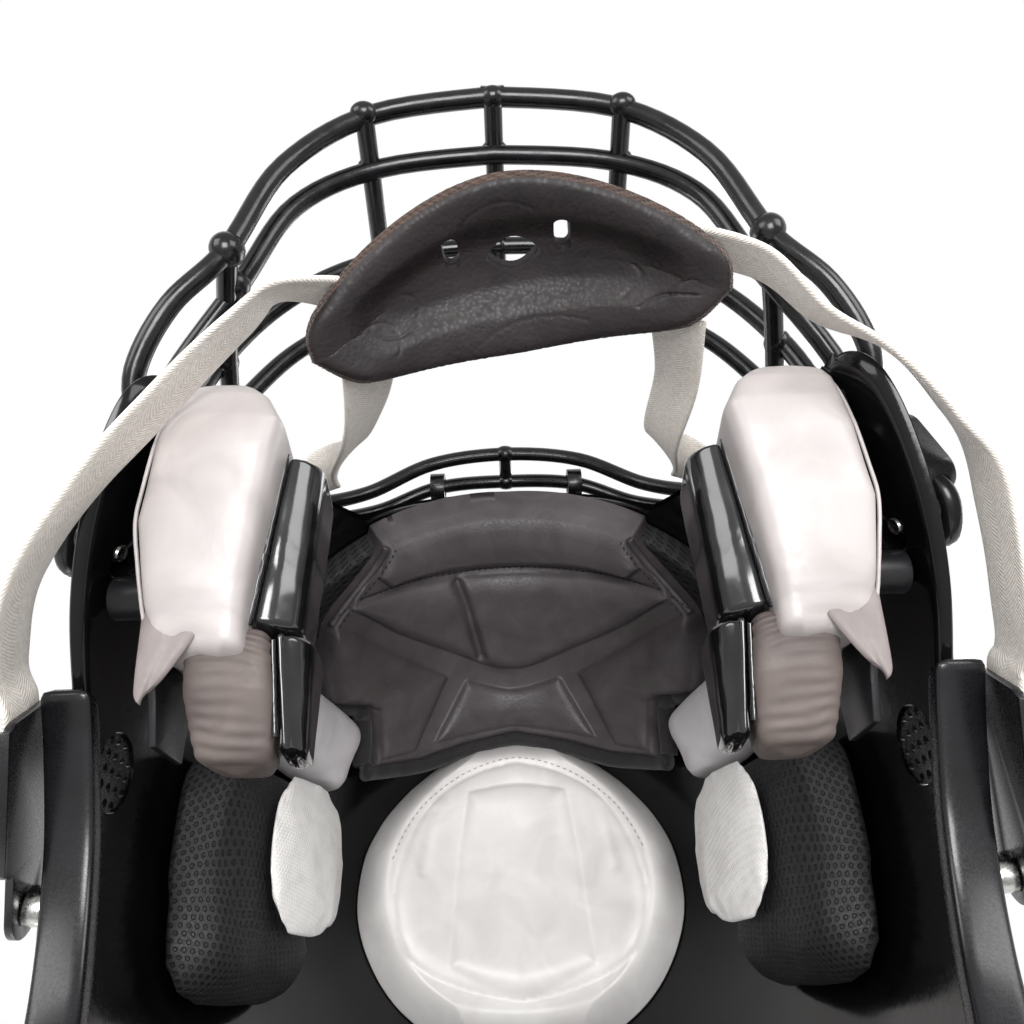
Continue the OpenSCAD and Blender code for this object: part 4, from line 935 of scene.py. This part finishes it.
def jawDetail(p):
    # broad hollows in the film, and tucks that gather it towards its rear end
    soft = 0.0007 * raise3(p, 45, 34, 2.0)
    rear = min(1.0, max(0.0, (p.y + 0.030) / 0.010))
    tuck = raise3(p, 60, 260, 5.0) + 0.6 * raise3(p, 190, 120, 9.0)
    dent = math.exp(-(((p.x - 0.0790) / 0.0030) ** 2 + ((p.y + 0.0190) / 0.0030) ** 2))
    return soft + rear * 0.0010 * tuck - 0.0026 * dent


def tabDetail(p):
    wave = math.sin((p.y + 0.10 * p.x + 0.0012 * raise3(p, 90, 90, 1.0)) * 2 * math.pi / 0.0030)
    return 0.00040 * wave * max(0.0, raise3(p, 60, 70, 4.0) + 0.30)


def cushionDetail(p):
    return 0.00035 * raise3(p, 50, 80, 3.0) + 0.00008 * raise3(p, 420, 160, 6.0)


def lowCushionDetail(p):
    # two channels run along the lower lobe
    return -0.0010 * sum(math.exp(-((p.x + 0.10 * p.y - x) / 0.0007) ** 2) for x in (0.0572, 0.0606)) \
        + cushionDetail(p)


def makeLobe(name, sign, parts, finish, replaced):
    bm = bmesh.new()
    for kind, detail, index in parts:
        start = len(bm.verts)
        sweepForm(bm, 150, 96, lambda t, angle: lobePoint(lobeSetup[kind], t, angle))
        made = bm.verts[:][start:]
        faces = {face for vertex in made for face in vertex.link_faces}
        bmesh.ops.recalc_face_normals(bm, faces=list(faces))
        bm.normal_update()
        heights = [detail(vertex.co) for vertex in made]
        for vertex, height in zip(made, heights):
            vertex.co += vertex.normal * height
        for face in faces:
            face.material_index = index
    bmesh.ops.scale(bm, verts=bm.verts, vec=(sign, 1, 1))
    bmesh.ops.recalc_face_normals(bm, faces=bm.faces)
    piece = finishPiece(bm, name, finish, "helmet", replaced)
    return piece


def edgeTube(bm, kind, corner, out, low, radius, first, last):
    # a welded seam that follows one low corner of a lobe
    sections = lobeSetup[kind]["sections"]
    ys = np.linspace(first, last, 26)
    places = [row[0] for row in sections]
    points = [(np.interp(y, places, [row[corner][0] for row in sections]) + out, y,
               np.interp(y, places, [row[corner][1] for row in sections]) + low) for y in ys]
    for _ in range(2):
        inner = [tuple((a + 2 * b + c) / 4 for a, b, c in zip(points[k - 1], points[k], points[k + 1]))
                 for k in range(1, len(points) - 1)]
        points = [points[0]] + inner + [points[-1]]
    rough = [(x + 0.10 * raise3(Vector((x, y, z)), 1.1, 1.7, 7.0), y,
              z + 0.10 * raise3(Vector((y, x, z)), 1.7, 1.1, 8.0)) for x, y, z in points]
    addTube(bm, smoothLine(millimetres(rough), 3), radius, 8)


def flapPoint(t, angle):
    # the tuck of film that hangs at the pad's outer rear corner
    top, tip = Vector((0.0850, -0.0330, -0.0690)), Vector((0.0912, -0.0050, -0.0660))
    middle = top.lerp(tip, t) - Vector((0.0010, 0, 0.0012)) * math.sin(math.pi * t)
    wide = (0.0092 * (1 - t) ** 0.75 + 0.0014) * shoulderOf(1 - t, 0.10)
    thick = 0.0022 * (1 - 0.5 * t) * shoulderOf(1 - t, 0.2)
    crease = 1 - 0.45 * math.exp(-((math.cos(angle) + 0.25) / 0.22) ** 2)
    return middle + Vector((math.cos(angle) * wide, 0.0016 * math.cos(angle) * t,
                            math.sin(angle) * thick * crease))


# welded edges: lobe, corner, how far out and down, the bead's radius, and its start and end along y
weldedEdges = {
    "jawPadWeld_": {"finish": "vinyl", "slot": "white_vinyl", "edges": [
        ("jaw", 2, -0.1, 2.6, 0.00055, -86, -18)]},
    "jawCushionWeld_": {"finish": "bladder", "slot": "gloss_cushion", "edges": [
        ("cushion", 2, 0.3, -0.3, 0.0011, -72, -25), ("lowCushion", 2, 0.2, 0.4, 0.0008, -22, 1)]},
}


def makeWeld(name, side, sign):
    setup = weldedEdges[name]
    bm = bmesh.new()
    for kind, corner, out, low, radius, start, end in setup["edges"]:
        edgeTube(bm, kind, corner, out, low, radius, start, end)
    if name == "jawPadWeld_":
        welded = set(bm.faces)
        sweepForm(bm, 30, 36, flapPoint)
        # the flap's faces go to slot 1, the vinyl painted darker as painted shade
        for face in set(bm.faces) - welded:
            face.material_index = 1
    bmesh.ops.scale(bm, verts=bm.verts, vec=(sign, 1, 1))
    bmesh.ops.recalc_face_normals(bm, faces=bm.faces)
    weld = finishPiece(bm, name + side, finishes[setup["finish"]], "helmet")
    if name == "jawPadWeld_":
        # slot 1: the tuck vinyl, darkened as painted shade under the flap
        weld.data.materials.append(finishes["tuck"])


for side, sign in (("left", 1), ("right", -1)):
    jaw = makeLobe("jawPad_" + side, sign, [("jaw", jawDetail, 0), ("tab", tabDetail, 1)],
                   finishes["vinyl"], ["jaw_pad_" + side])
    # slot 1 on the tab lobe: the vinyl painted darker as painted shade of its recess
    jaw.data.materials.append(finishes["tabCloth"])
    makeLobe("jawCushion_" + side, sign, [("cushion", cushionDetail, 0), ("lowCushion", lowCushionDetail, 0)],
             finishes["bladder"], ["jaw_cushion_" + side])
    for name in weldedEdges:
        makeWeld(name, side, sign)
print("jaw pads and cushions moulded")

# Formed panels inside the brow and crown. A place is (side, pitch) in degrees, seen from the shell's middle
degreeLength = 0.0022


def pitchDirection(side, pitch):
    a, e = math.radians(side), math.radians(pitch)
    return Vector((math.sin(a), -math.cos(a) * math.cos(e), math.cos(a) * math.sin(e)))


def insideShell(side, pitch, height):
    d = pitchDirection(side, pitch)
    return shellMiddle + d * (reach(d, shellShape["wall"]) - height)


def curvedEdge(points, steps=8):
    return [tuple(p[:2]) for p in smoothLine([(x, y, 0) for x, y in points], steps)]


def mirrored(points):
    return [(-x, y) for x, y in reversed(points)]


def inwardDistance(x, y, outline):
    # how far each place lies inside a closed outline, in metres, and 0 outside of it
    inside = np.zeros(x.shape, bool)
    nearest = np.full(x.shape, 1e9)
    for (ax, ay), (bx, by) in zip(outline, outline[1:] + outline[:1]):
        crosses = (ay > y) != (by > y)
        with np.errstate(divide="ignore", invalid="ignore"):
            inside ^= crosses & (x < (bx - ax) * (y - ay) / (by - ay) + ax)
        nearest = np.minimum(nearest, lineDistance(x, y, (ax, ay), (bx, by)))
    return np.where(inside, nearest * degreeLength, 0.0)


def lineDistance(x, y, a, b):
    dx, dy = b[0] - a[0], b[1] - a[1]
    along = np.clip(((x - a[0]) * dx + (y - a[1]) * dy) / max(1e-12, dx * dx + dy * dy), 0, 1)
    return np.hypot(x - a[0] - along * dx, y - a[1] - along * dy)


def shoulder(distance, width):
    k = 1 - np.clip(distance / width, 0, 1)
    return np.sqrt(1 - k * k)


def formPanel(name, finish, setup, panels, grooves, replaced):
    rows, columns = setup["rows"], setup["columns"]
    bm = bmesh.new()
    bmesh.ops.create_grid(bm, x_segments=columns, y_segments=rows, size=1.0)
    made = bmesh.ops.duplicate(bm, geom=bm.verts[:] + bm.edges[:] + bm.faces[:])["geom"]
    back = {part for part in made if isinstance(part, bmesh.types.BMVert)}
    verts = bm.verts[:]
    s = np.array([v.co.x for v in verts])
    t = np.array([(v.co.y + 1) / 2 for v in verts])
    first, last = setup["firstPitch"], setup["lastPitch"]
    pitch = first + (last - first) * t
    sides = curvedEdge(setup["sides"], 6)
    half = np.interp(pitch, [p for p, h in sides], [h for p, h in sides])
    side = s * half
    ends = np.interp(np.abs(side), [h for h, p in setup["endCurve"]], [p for h, p in setup["endCurve"]])
    starts = np.interp(np.abs(side), [h for h, p in setup["startCurve"]], [p for h, p in setup["startCurve"]])
    pitch = pitch + (ends - last) * np.clip(t * 2 - 1, 0, 1) ** 1.5 \
        + (starts - first) * np.clip(1 - t * 2, 0, 1) ** 1.5
    height = np.full(side.shape, setup["base"])
    row, column = np.rint(t * rows).astype(int), np.rint((s + 1) / 2 * columns).astype(int)
    domes = np.zeros((rows + 1, columns + 1))
    for outline, rise, width, crown in panels:
        inward = inwardDistance(side, pitch, outline)
        height = height + rise * shoulder(inward, width)
        dome = crown * (1 - np.exp(-inward / 0.016))
        sheet = np.zeros_like(domes)
        sheet[row, column] = dome
        domes += sheet
    # the domes are softened so that no crease shows along their middle
    for softening in range(30):
        padded = np.pad(domes, 1, mode="edge")
        domes = (padded[:-2, 1:-1] + padded[2:, 1:-1] + padded[1:-1, :-2] + padded[1:-1, 2:] + 2 * domes) / 6
    height = height + domes[row, column]
    for line, depth, width in grooves:
        near = np.full(side.shape, 1e9)
        for a, b in zip(line, line[1:]):
            near = np.minimum(near, lineDistance(side, pitch, a, b) * degreeLength)
        height = height - depth * np.exp(-(near / width) ** 2)
    rim = np.minimum((1 - np.abs(s)) * half, np.minimum(t, 1 - t) * (last - first)) * degreeLength
    height = setup["floor"] + (height - setup["floor"]) * shoulder(rim, setup["rimWidth"])
    lead = setup.get("lead", 0.0)
    if lead:
        front = np.clip(t * (last - first) * degreeLength / lead, 0, 1)
        height = height * (0.62 + 0.38 * np.sin(front * math.pi / 2))
    for k, vertex in enumerate(verts):
        if vertex in back:
            tall = 0.0006
        else:
            fold = noise.noise(Vector((side[k] * 0.11, pitch[k] * 0.11, 3.0)))
            tall = height[k] + setup["wrinkle"] * fold
        vertex.co = insideShell(side[k], pitch[k], tall)
    bmesh.ops.bridge_loops(bm, edges=[edge for edge in bm.edges if edge.is_boundary])
    bmesh.ops.recalc_face_normals(bm, faces=bm.faces)
    return finishPiece(bm, name, finish, "helmet", replaced)


def addStitches(bm, places, length, radius):
    # thread lies on the surface in short dashes, each a little sunk at both ends
    travelled, gap = 0.0, length * 1.7
    for a, b in zip(places, places[1:]):
        step = (b - a).length
        while travelled < step:
            place = a.lerp(b, travelled / step)
            made = bmesh.ops.create_uvsphere(bm, u_segments=6, v_segments=4, radius=1.0)["verts"]
            turn = (b - a).to_track_quat("Z", "Y").to_matrix().to_4x4()
            size = Matrix.Diagonal((radius, radius, length / 2, 1))
            bmesh.ops.transform(bm, matrix=Matrix.Translation(place) @ turn @ size, verts=made)
            travelled += gap
        travelled -= step


bandOutline = curvedEdge([(-25, 9.6), (0, 10.2), (25, 9.6)]) + [(29.6, 15.2), (27.4, 19.4)] \
    + curvedEdge([(17.2, 21.0), (0, 22.4), (-17.2, 21.0)]) + [(-27.4, 19.4), (-29.6, 15.2)]
lensOutline = curvedEdge([(-39.6, 16.2), (-27.6, 21.4), (-13.6, 24.0), (0, 24.8), (13.6, 24.0), (27.6, 21.4),
                          (39.6, 16.2)]) \
    + curvedEdge([(39.6, 16.2), (27.0, 34.8), (10.2, 46.6), (0, 50.0), (-10.2, 46.6), (-27.0, 34.8),
                  (-39.6, 16.2)])[1:-1]
quadOutline = curvedEdge([(44.6, 19.2), (28.4, 40.0), (15.2, 50.4)]) \
    + [(23.6, 67.4), (32.4, 68.6), (33.4, 54.6)] \
    + curvedEdge([(44.8, 48.0), (46.0, 38.0), (45.4, 28.0)])
bowOutline = curvedEdge([(-10.8, 52.0), (0, 55.0), (10.8, 52.0)]) + [(18.8, 66.0)] \
    + curvedEdge([(10.0, 64.6), (0, 63.4), (-10.0, 64.6)]) + [(-18.8, 66.0)]
frontSetup = {"rows": 190, "columns": 180, "firstPitch": 8.0, "lastPitch": 70.0,
              "base": 0.0185, "floor": 0.0012, "rimWidth": 0.0045, "wrinkle": 0.0004, "lead": 0.026,
              "sides": [(8, 27), (11, 28.4), (14, 32.2), (17.4, 37.5), (21, 43.4), (25, 45.6), (31, 47.6),
                        (42, 48.6),
                        (47, 47.2), (50.5, 42), (52.5, 36.8), (60, 34.8), (70, 34.6)],
              "endCurve": [(0, 65.6), (12, 67.8), (22, 70.4), (36, 71.2)],
              "startCurve": [(0, 9.2), (27, 8.0)]}
frontPanels = [(bandOutline, 0.0044, 0.0060, 0.0026), (lensOutline, 0.0048, 0.0095, 0.0060),
               (quadOutline, 0.0036, 0.0075, 0.0040), (mirrored(quadOutline), 0.0036, 0.0075, 0.0040),
               (bowOutline, 0.0026, 0.0045, 0.0034)]
seamArc = curvedEdge([(-43.8, 17.6), (-36.0, 18.6), (-27.6, 20.9), (-13.6, 23.2), (0, 23.8), (13.6, 23.2),
                      (27.6, 20.9), (36.0, 18.6), (43.8, 17.6)])
frontGrooves = [(curvedEdge([(-11.8, 25.6), (-10.4, 31.0), (-8.6, 40.0), (-7.2, 46.0)]), 0.0050, 0.0024),
                (seamArc, 0.0012, 0.0010)]
frontPiece = formPanel("frontPad", finishes["leatherette"], frontSetup, frontPanels, frontGrooves,
                       ["front_pad_band", "front_pad_lens", "front_pad_sides", "front_pad_centre"])
print("front pad formed")

# Its sewing: a seam over the lens, a seam inside each bound edge, and the bound edges themselves
boundEdge = curvedEdge([(26.2, 8.4), (27.6, 10.6), (31.0, 13.9), (36.4, 17.4), (43.0, 21.2)], 10)
sewing = bmesh.new()
addStitches(sewing, [insideShell(x, y, frontSetup["base"] - 0.0004) for x, y in seamArc], 0.0017, 0.00030)
for sign in (1, -1):
    line = [insideShell(sign * (x - 1.5), y + 0.7, frontSetup["base"] + 0.0002) for x, y in boundEdge]
    addStitches(sewing, line, 0.0017, 0.00030)
finishPiece(sewing, "frontPadStitches", finishes["thread"], "helmet")
binding = bmesh.new()
for sign in (1, -1):
    addTube(binding, [insideShell(sign * x, y, frontSetup["base"] - 0.0030) for x, y in boundEdge], 0.0016, 10)
finishPiece(binding, "frontPadBinding", finishes["leatherette"], "helmet")
hem = bmesh.new()
hemSide = curvedEdge([(47.6, 44.0), (45.4, 49.2), (39.4, 52.6), (36.2, 55.4), (35.8, 62.0), (36.0, 69.6)], 8)
hemEnd = curvedEdge([(35.6, 71.4), (22.0, 71.0), (12.0, 68.6), (0, 66.4), (-12.0, 68.6), (-22.0, 71.0),
                     (-35.6, 71.4)], 10)
for line in (hemSide, mirrored(hemSide), hemEnd):
    places = [insideShell(x, y, 0.0115 + 0.0012 * noise.noise(Vector((x * 0.4, y * 0.4, 0))))
              for x, y in line]
    addTube(hem, places, 0.0042, 12)
finishPiece(hem, "frontPadHem", finishes["lining"], "helmet")

# The crown pad: a white cover with a margin, a raised middle and two long ridges
crownMargin = [(0, 71.2), (10.0, 73.6), (18.8, 78.6), (24.6, 86.0), (28.0, 95.0), (28.6, 106.0), (22.0, 116.0),
               (0, 120.0)]
crownOutline = curvedEdge(crownMargin, 6) + mirrored(curvedEdge(crownMargin, 6))[1:-1]
ridgeOutline = curvedEdge([(-11.6, 77.4), (0, 76.0), (11.6, 77.4)]) + curvedEdge([(14.0, 92), (15.4, 116)]) \
    + [(0, 120)] + curvedEdge([(-15.4, 116), (-14.0, 92)])
crownSetup = {"rows": 150, "columns": 120, "firstPitch": 69.0, "lastPitch": 124.0,
              "base": 0.0240, "floor": 0.0012, "rimWidth": 0.0060, "wrinkle": 0.0005,
              "sides": [(69, 7.0), (71, 13.6), (74, 19.2), (78, 24.0), (84, 28.8), (92, 32.2), (103, 32.6),
                        (112, 28.8), (119, 21.6), (124, 10.0)],
              "endCurve": [(0, 124), (34, 124)], "startCurve": [(0, 67.6), (20, 69.6)]}
crownPiece = formPanel("crownPad", finishes["crownVinyl"], crownSetup,
                       [(crownOutline, 0.0046, 0.0080, 0.0020), (ridgeOutline, 0.0034, 0.0090, 0.0010)],
                       [(curvedEdge([(-20.4, 82), (-22.6, 96)]), 0.0010, 0.0030),
                        (curvedEdge([(20.4, 82), (22.6, 96)]), 0.0010, 0.0030)], ["crown_pad"])
crownThread = bmesh.new()
crownSeam = curvedEdge([(-29.8, 93), (-26.4, 85.6), (-21.0, 79.0), (-11.6, 73.0), (0, 70.2), (11.6, 73.0),
                        (21.0, 79.0), (26.4, 85.6), (29.8, 93)], 10)
addStitches(crownThread, [insideShell(x, y, crownSetup["base"] + 0.0004) for x, y in crownSeam],
            0.0019, 0.00028)
finishPiece(crownThread, "crownPadStitches", finishes["palerThread"], "helmet")
print("crown pad formed")


# Spacer mesh lies under the front pad and shows as a wing on each side of it
wingSetup = {"rows": 50, "columns": 110, "firstPitch": 10.0, "lastPitch": 36.0, "base": 0.0100, "floor": 0.0010,
             "rimWidth": 0.0050, "wrinkle": 0.0008, "sides": [(10, 46), (20, 52), (36, 55)],
             "endCurve": [(0, 36), (60, 36)], "startCurve": [(0, 10), (60, 10)]}
wings = formPanel("frontMeshWings", finishes["mesh"], wingSetup, [], [], [])
layPattern(wings)

# The chin cup and its liner, which hang a little askew on the straps
cupShape = {"halfWidth": 0.058, "height": 0.056, "depth": 0.024, "wall": 0.0024, "liner": 0.0062,
            "hollowFrom": 0.008, "hollowOver": 0.010, "place": (-0.094, -0.103),
            "tilt": 18, "roll": 6, "yaw": -5, "aside": 0.005}
cupY, cupZ = cupShape["place"]
cupTurn = Matrix.Translation((cupShape["aside"], cupY, cupZ)) \
    @ Matrix.Rotation(math.radians(cupShape["yaw"]), 4, "Z") \
    @ Matrix.Rotation(math.radians(cupShape["roll"]), 4, "Y") @ Matrix.Translation((0, -cupY, -cupZ))


def cupSurface(u, v):
    half = cupShape["height"] / 2 * (1 - 0.5 * abs(u) ** 1.7)
    bulge = cupShape["depth"] * (1 - u * u) * (1 - 0.3 * v * v)
    tilt = math.radians(cupShape["tilt"])
    return Vector((cupShape["halfWidth"] * u * (1 - 0.2 * u * u * max(0, v)),
                   cupY - bulge + v * half * math.sin(tilt),
                   cupZ + 0.003 * u * u * (1 - v) - 0.005 * (1 - u * u) * max(0, v)
                   + v * half * math.cos(tilt)))


def cupPoint(u, v, w):
    step = 0.01
    along = cupSurface(u + step, v) - cupSurface(u - step, v)
    up = cupSurface(u, v + step) - cupSurface(u, v - step)
    normal = along.cross(up).normalized()
    return cupTurn @ (cupSurface(u, v) + normal * (w if normal.y > 0 else -w))


def arcPoints(middle, radiusU, radiusV, start, end, steps=12):
    return [(middle[0] + radiusU * math.cos(math.radians(start + (end - start) * k / steps)),
             middle[1] + radiusV * math.sin(math.radians(start + (end - start) * k / steps)))
            for k in range(steps + 1)]


# Creases and pressed rings in the liner: places across and up the cup, depth and width in metres
cupCreases = [
    (arcPoints((-0.62, 0.16), 0.13, 0.30, -60, 200), 0.00025, 0.0005),
    (arcPoints((-0.76, 0.40), 0.12, 0.34, -100, 60), 0.00028, 0.0005),
    (curvedEdge([(0.66, 0.62), (0.73, 0.46), (0.80, 0.36), (0.92, 0.30)], 5), 0.00050, 0.0006),
    (curvedEdge([(0.80, 0.36), (0.83, 0.10), (0.88, -0.12)], 5), 0.00042, 0.0005),
    (curvedEdge([(0.56, 0.50), (0.64, 0.20), (0.60, 0.02)], 5), 0.00035, 0.0006),
    (curvedEdge([(-0.26, 0.90), (-0.10, 0.74), (0.06, 0.68), (0.22, 0.70), (0.37, 0.78)], 5), 0.00016, 0.0004),
    (arcPoints((-0.02, -0.56), 0.21, 0.25, 0, 360, 24), 0.00016, 0.0005),
    (curvedEdge([(-0.94, 0.10), (-0.86, 0.02), (-0.80, 0.10)], 5), 0.00036, 0.0005),
]


def cupLayer(name, finishNames, inner, outer, columns, rows, roll, creases, fray, reachOut, hollow, replaced):
    bm = bmesh.new()
    bmesh.ops.create_grid(bm, x_segments=columns, y_segments=rows, size=1.0)
    made = bmesh.ops.duplicate(bm, geom=bm.verts[:] + bm.edges[:] + bm.faces[:])["geom"]
    back = {part for part in made if isinstance(part, bmesh.types.BMVert)}
    verts = bm.verts[:]
    u, v = np.array([p.co.x for p in verts]), np.array([p.co.y for p in verts])
    ends = (1 - np.abs(u)) * cupShape["halfWidth"] + 1e-6
    lips = (1 - np.abs(v)) * cupShape["height"] * 0.42 + 1e-6
    rim = np.where((ends < 2e-6) | (lips < 2e-6), 0, (ends ** -3 + lips ** -3) ** (-1 / 3))
    tall = inner + (outer - inner) * (0.40 + 0.60 * shoulder(rim, roll))
    inwards = np.clip((rim - cupShape["hollowFrom"]) / cupShape["hollowOver"], 0, 1)
    tall = tall - hollow * inwards ** 2 * (3 - 2 * inwards)
    for line, depth, width in creases:
        near = np.full(u.shape, 1e9)
        for a, b in zip(line, line[1:]):
            near = np.minimum(near, lineDistance(u * 0.058, v * 0.026, (a[0] * 0.058, a[1] * 0.026),
                                                 (b[0] * 0.058, b[1] * 0.026)))
        tall = tall - depth * np.exp(-(near / width) ** 2)
    for k, vertex in enumerate(verts):
        ragged = fray * noise.noise(Vector((u[k] * 40, v[k] * 40, 1.0))) if rim[k] < 1e-6 else 0.0
        across, up = u[k] * (1 - 0.055 * v[k] ** 6), v[k] * (1 - 0.13 * u[k] ** 10)
        grown = reachOut + ragged
        vertex.co = cupPoint(across * grown, up * grown, inner if vertex in back else tall[k])
    edgeFaces = bmesh.ops.bridge_loops(bm, edges=[edge for edge in bm.edges if edge.is_boundary])["faces"]
    for face in edgeFaces:
        face.material_index = 1
    bmesh.ops.recalc_face_normals(bm, faces=bm.faces)
    piece = finishPiece(bm, name, finishes[finishNames[0]], "helmet", replaced)
    piece.data.materials.append(finishes[finishNames[1]])
    return piece


def cupCutters():
    bm = bmesh.new()
    middle = Vector((0, cupY - cupShape["depth"], cupZ))
    for x in (-0.0155, 0.0155):
        made = bmesh.ops.create_cone(bm, cap_ends=True, segments=24, radius1=0.0022, radius2=0.0022,
                                     depth=0.03)["verts"]
        for vertex in made:
            vertex.co.y += math.copysign(0.0033, vertex.co.y) if abs(vertex.co.y) > 1e-6 else 0
        bmesh.ops.rotate(bm, verts=made, matrix=Matrix.Rotation(math.pi / 2, 3, "X"))
        bmesh.ops.translate(bm, verts=made, vec=middle + Vector((x, 0, -0.008)))
    # the almond is what two wide arcs leave between them
    made = bmesh.ops.create_cone(bm, cap_ends=True, segments=40, radius1=1.0, radius2=1.0, depth=0.03)["verts"]
    for vertex in made:
        side = vertex.co.x
        vertex.co.x = side * 0.0080
        vertex.co.y = math.copysign(0.0052 * (1 - side * side), vertex.co.y)
    bmesh.ops.rotate(bm, verts=made, matrix=Matrix.Rotation(math.pi / 2, 3, "X"))
    bmesh.ops.translate(bm, verts=made, vec=middle + Vector((0.0015, 0, -0.003)))
    bmesh.ops.transform(bm, matrix=cupTurn, verts=bm.verts)
    bmesh.ops.remove_doubles(bm, verts=bm.verts, dist=0.00001)
    bmesh.ops.recalc_face_normals(bm, faces=bm.faces)
    mesh = bpy.data.meshes.new("cupCutters")
    bm.to_mesh(mesh)
    bm.free()
    cutter = bpy.data.objects.new("cupCutters", mesh)
    scene.collection.objects.link(cutter)
    return cutter


cupPiece = cupLayer("chinCup", ("cupLeather", "cupLeather"), 0.0, -cupShape["wall"], 90, 44, 0.002,
                    [], 0.0, 0.91, 0.0, ["chin_cup"])
linerPiece = cupLayer("chinLiner", ("cupLeather", "cupEdge"), 0.0003, cupShape["liner"], 230, 110, 0.009,
                      cupCreases, 0.006, 1.0, 0.0034, ["chin_liner"])
cutter = cupCutters()
for piece in (cupPiece, linerPiece):
    holes = piece.modifiers.new("holes", "BOOLEAN")
    holes.operation, holes.object, holes.solver = "DIFFERENCE", cutter, "MANIFOLD"
    bakeModifiers(piece)
    for face in piece.data.polygons:
        face.use_smooth = True
    piece.data.set_sharp_from_angle(angle=math.radians(50))
bpy.data.objects.remove(cutter)
print("chin cup shaped:", len(linerPiece.data.polygons), "faces")

# Webbing: each strap runs from the cup to its buckle. Places along its middle, then the way its width lies
strapShape = {"width": 17.0, "thick": 1.8, "edge": 0.45, "columns": 16, "steps": 14}
strapRoutes = {
    "lowStrap_left": ([(55, -115, -110), (70.7, -105.2, -109), (84.2, -89, -105), (100.5, -79, -102),
                       (114, -66, -94), (124, -50, -84.5)],
                      [(0.15, -0.30, 0.94), (0.15, -0.35, 0.92), (0.19, -0.55, 0.8), (0.3, -0.72, 0.62),
                       (0.1, -0.85, 0.5), (0, -0.8, 0.6)]),
    "lowStrap_right": ([(48, -109, -109), (57, -98.5, -111), (67.5, -89, -108.5), (87.6, -70, -100),
                        (104, -50.5, -93.5), (118, -30, -84)],
                       [(0.1, -0.30, 0.94), (0.15, -0.55, 0.8), (0.05, -0.45, 0.88), (0, -0.4, 0.9),
                        (0.05, -0.45, 0.85), (0.08, -0.55, 0.8)]),
    "highStrap": ([(45, -99, -88), (50, -101, -62), (56, -107, -30), (68.5, -117.6, -7), (85.8, -110.5, 4.2),
                   (98.6, -93.4, 12)],
                  [(0.75, 0.5, -0.4), (0.6, 0.7, -0.2), (0.5, 0.8, -0.1), (0.2, 0.5, 0.85), (0.1, 0.1, 0.99),
                   (0, 0, 1)]),
}
buckleFrames = {"lowStrap": ((0.985, -0.03, -0.17), (0, 0.774, 0.633), (124.4, 9.5, -46)),
                "highStrap": ((0.955, -0.29, 0.06), (0.29, 0.95, 0.11), (113.6, -46, 18))}
buckleRun = [(-31, 6.4), (-21, 3.6), (-10, 3.4), (6, 3.4)]


def fromCup(place, sign):
    # a place beside the cup, turned as the cup hangs, in the frame of the side it is on
    turned = cupTurn @ Vector((sign * place[0] / 1000, place[1] / 1000, place[2] / 1000))
    return Vector((sign * turned.x, turned.y, turned.z)) * 1000


def strapLine(name, sign):
    kind = name.split("_")[0]
    places, widths = strapRoutes.get(name) or strapRoutes[kind]
    places, widths = [Vector(p) for p in places], [Vector(w) for w in widths]
    if kind == "highStrap":
        places[0] = fromCup(places[0], sign)
        places[1] = places[1].lerp(fromCup(places[1], sign), 0.6)
    else:
        start = cupPoint(0.72 * sign, -0.30, -0.0042)
        places[0] = Vector((sign * start.x, start.y, start.z)) * 1000
    out, along, middle = (Vector(v) for v in buckleFrames[kind])
    out = out.normalized()
    along = (along - out * along.dot(out)).normalized()
    for run, lift in buckleRun:
        places.append(middle + along * run + out * lift)
        widths.append(out.cross(along))
    return [tuple(p) for p in places], [tuple(w) for w in widths]


def makeStrap(name, sign, replaced):
    places, widths = strapLine(name, sign)
    count = (len(places) - 1) * strapShape["steps"]
    line = [Vector(curveAt(places, k / count)) for k in range(count + 1)]
    lies = [Vector(curveAt(widths, k / count)) for k in range(count + 1)]
    length = [0.0]
    for a, b in zip(line, line[1:]):
        length.append(length[-1] + (b - a).length)
    bm = bmesh.new()
    laid = bm.loops.layers.uv.new("laid")
    around = strapShape["columns"] * 2 + 4
    bmesh.ops.create_grid(bm, x_segments=count, y_segments=around, size=1.0)
    half, thick, edge = strapShape["width"] / 2, strapShape["thick"] / 2, strapShape["edge"]
    for face in bm.faces:
        for loop in face.loops:
            along, turned = (loop.vert.co.x + 1) / 2, (loop.vert.co.y + 1) * math.pi
            loop[laid].uv = (length[round(along * count)] / 1000, math.cos(turned) * half / 1000)
    for vertex in bm.verts:
        k = round((vertex.co.x + 1) / 2 * count)
        turn = round((vertex.co.y + 1) / 2 * around) / around * 2 * math.pi
        ahead = (line[min(count, k + 1)] - line[max(0, k - 1)]).normalized()
        across = lies[k] - ahead * lies[k].dot(ahead)
        across = across.normalized()
        normal = ahead.cross(across)
        c, s = math.cos(turn), math.sin(turn)
        x = math.copysign(abs(c) ** 0.8, c)
        free = min(1.0, max(0.0, (length[-1] - 34 - length[k]) / 12)) * min(1.0, length[k] / 10)
        lift = free * 0.5 * noise.noise(Vector((length[k] * 0.045, x * 0.8, 3.0)))
        curl = free * 0.35 * (x * x - 0.4)
        vertex.co = (line[k] + across * (x * half) + normal * (math.copysign(min(1.0, abs(s) / edge), s) * thick
                                                               + lift + curl)) / 1000
    bmesh.ops.remove_doubles(bm, verts=bm.verts, dist=0.000001)
    bmesh.ops.holes_fill(bm, edges=bm.edges, sides=0)
    bmesh.ops.scale(bm, verts=bm.verts, vec=(sign, 1, 1))
    bmesh.ops.recalc_face_normals(bm, faces=bm.faces)
    return finishPiece(bm, name, finishes["webbing"], "helmet", replaced)


for side, sign in (("left", 1), ("right", -1)):
    makeStrap("lowStrap_" + side, sign, ["low_strap_" + side])
    makeStrap("highStrap_" + side, sign, ["high_strap_" + side])
print("straps woven")

scene.view_layers[0].update()
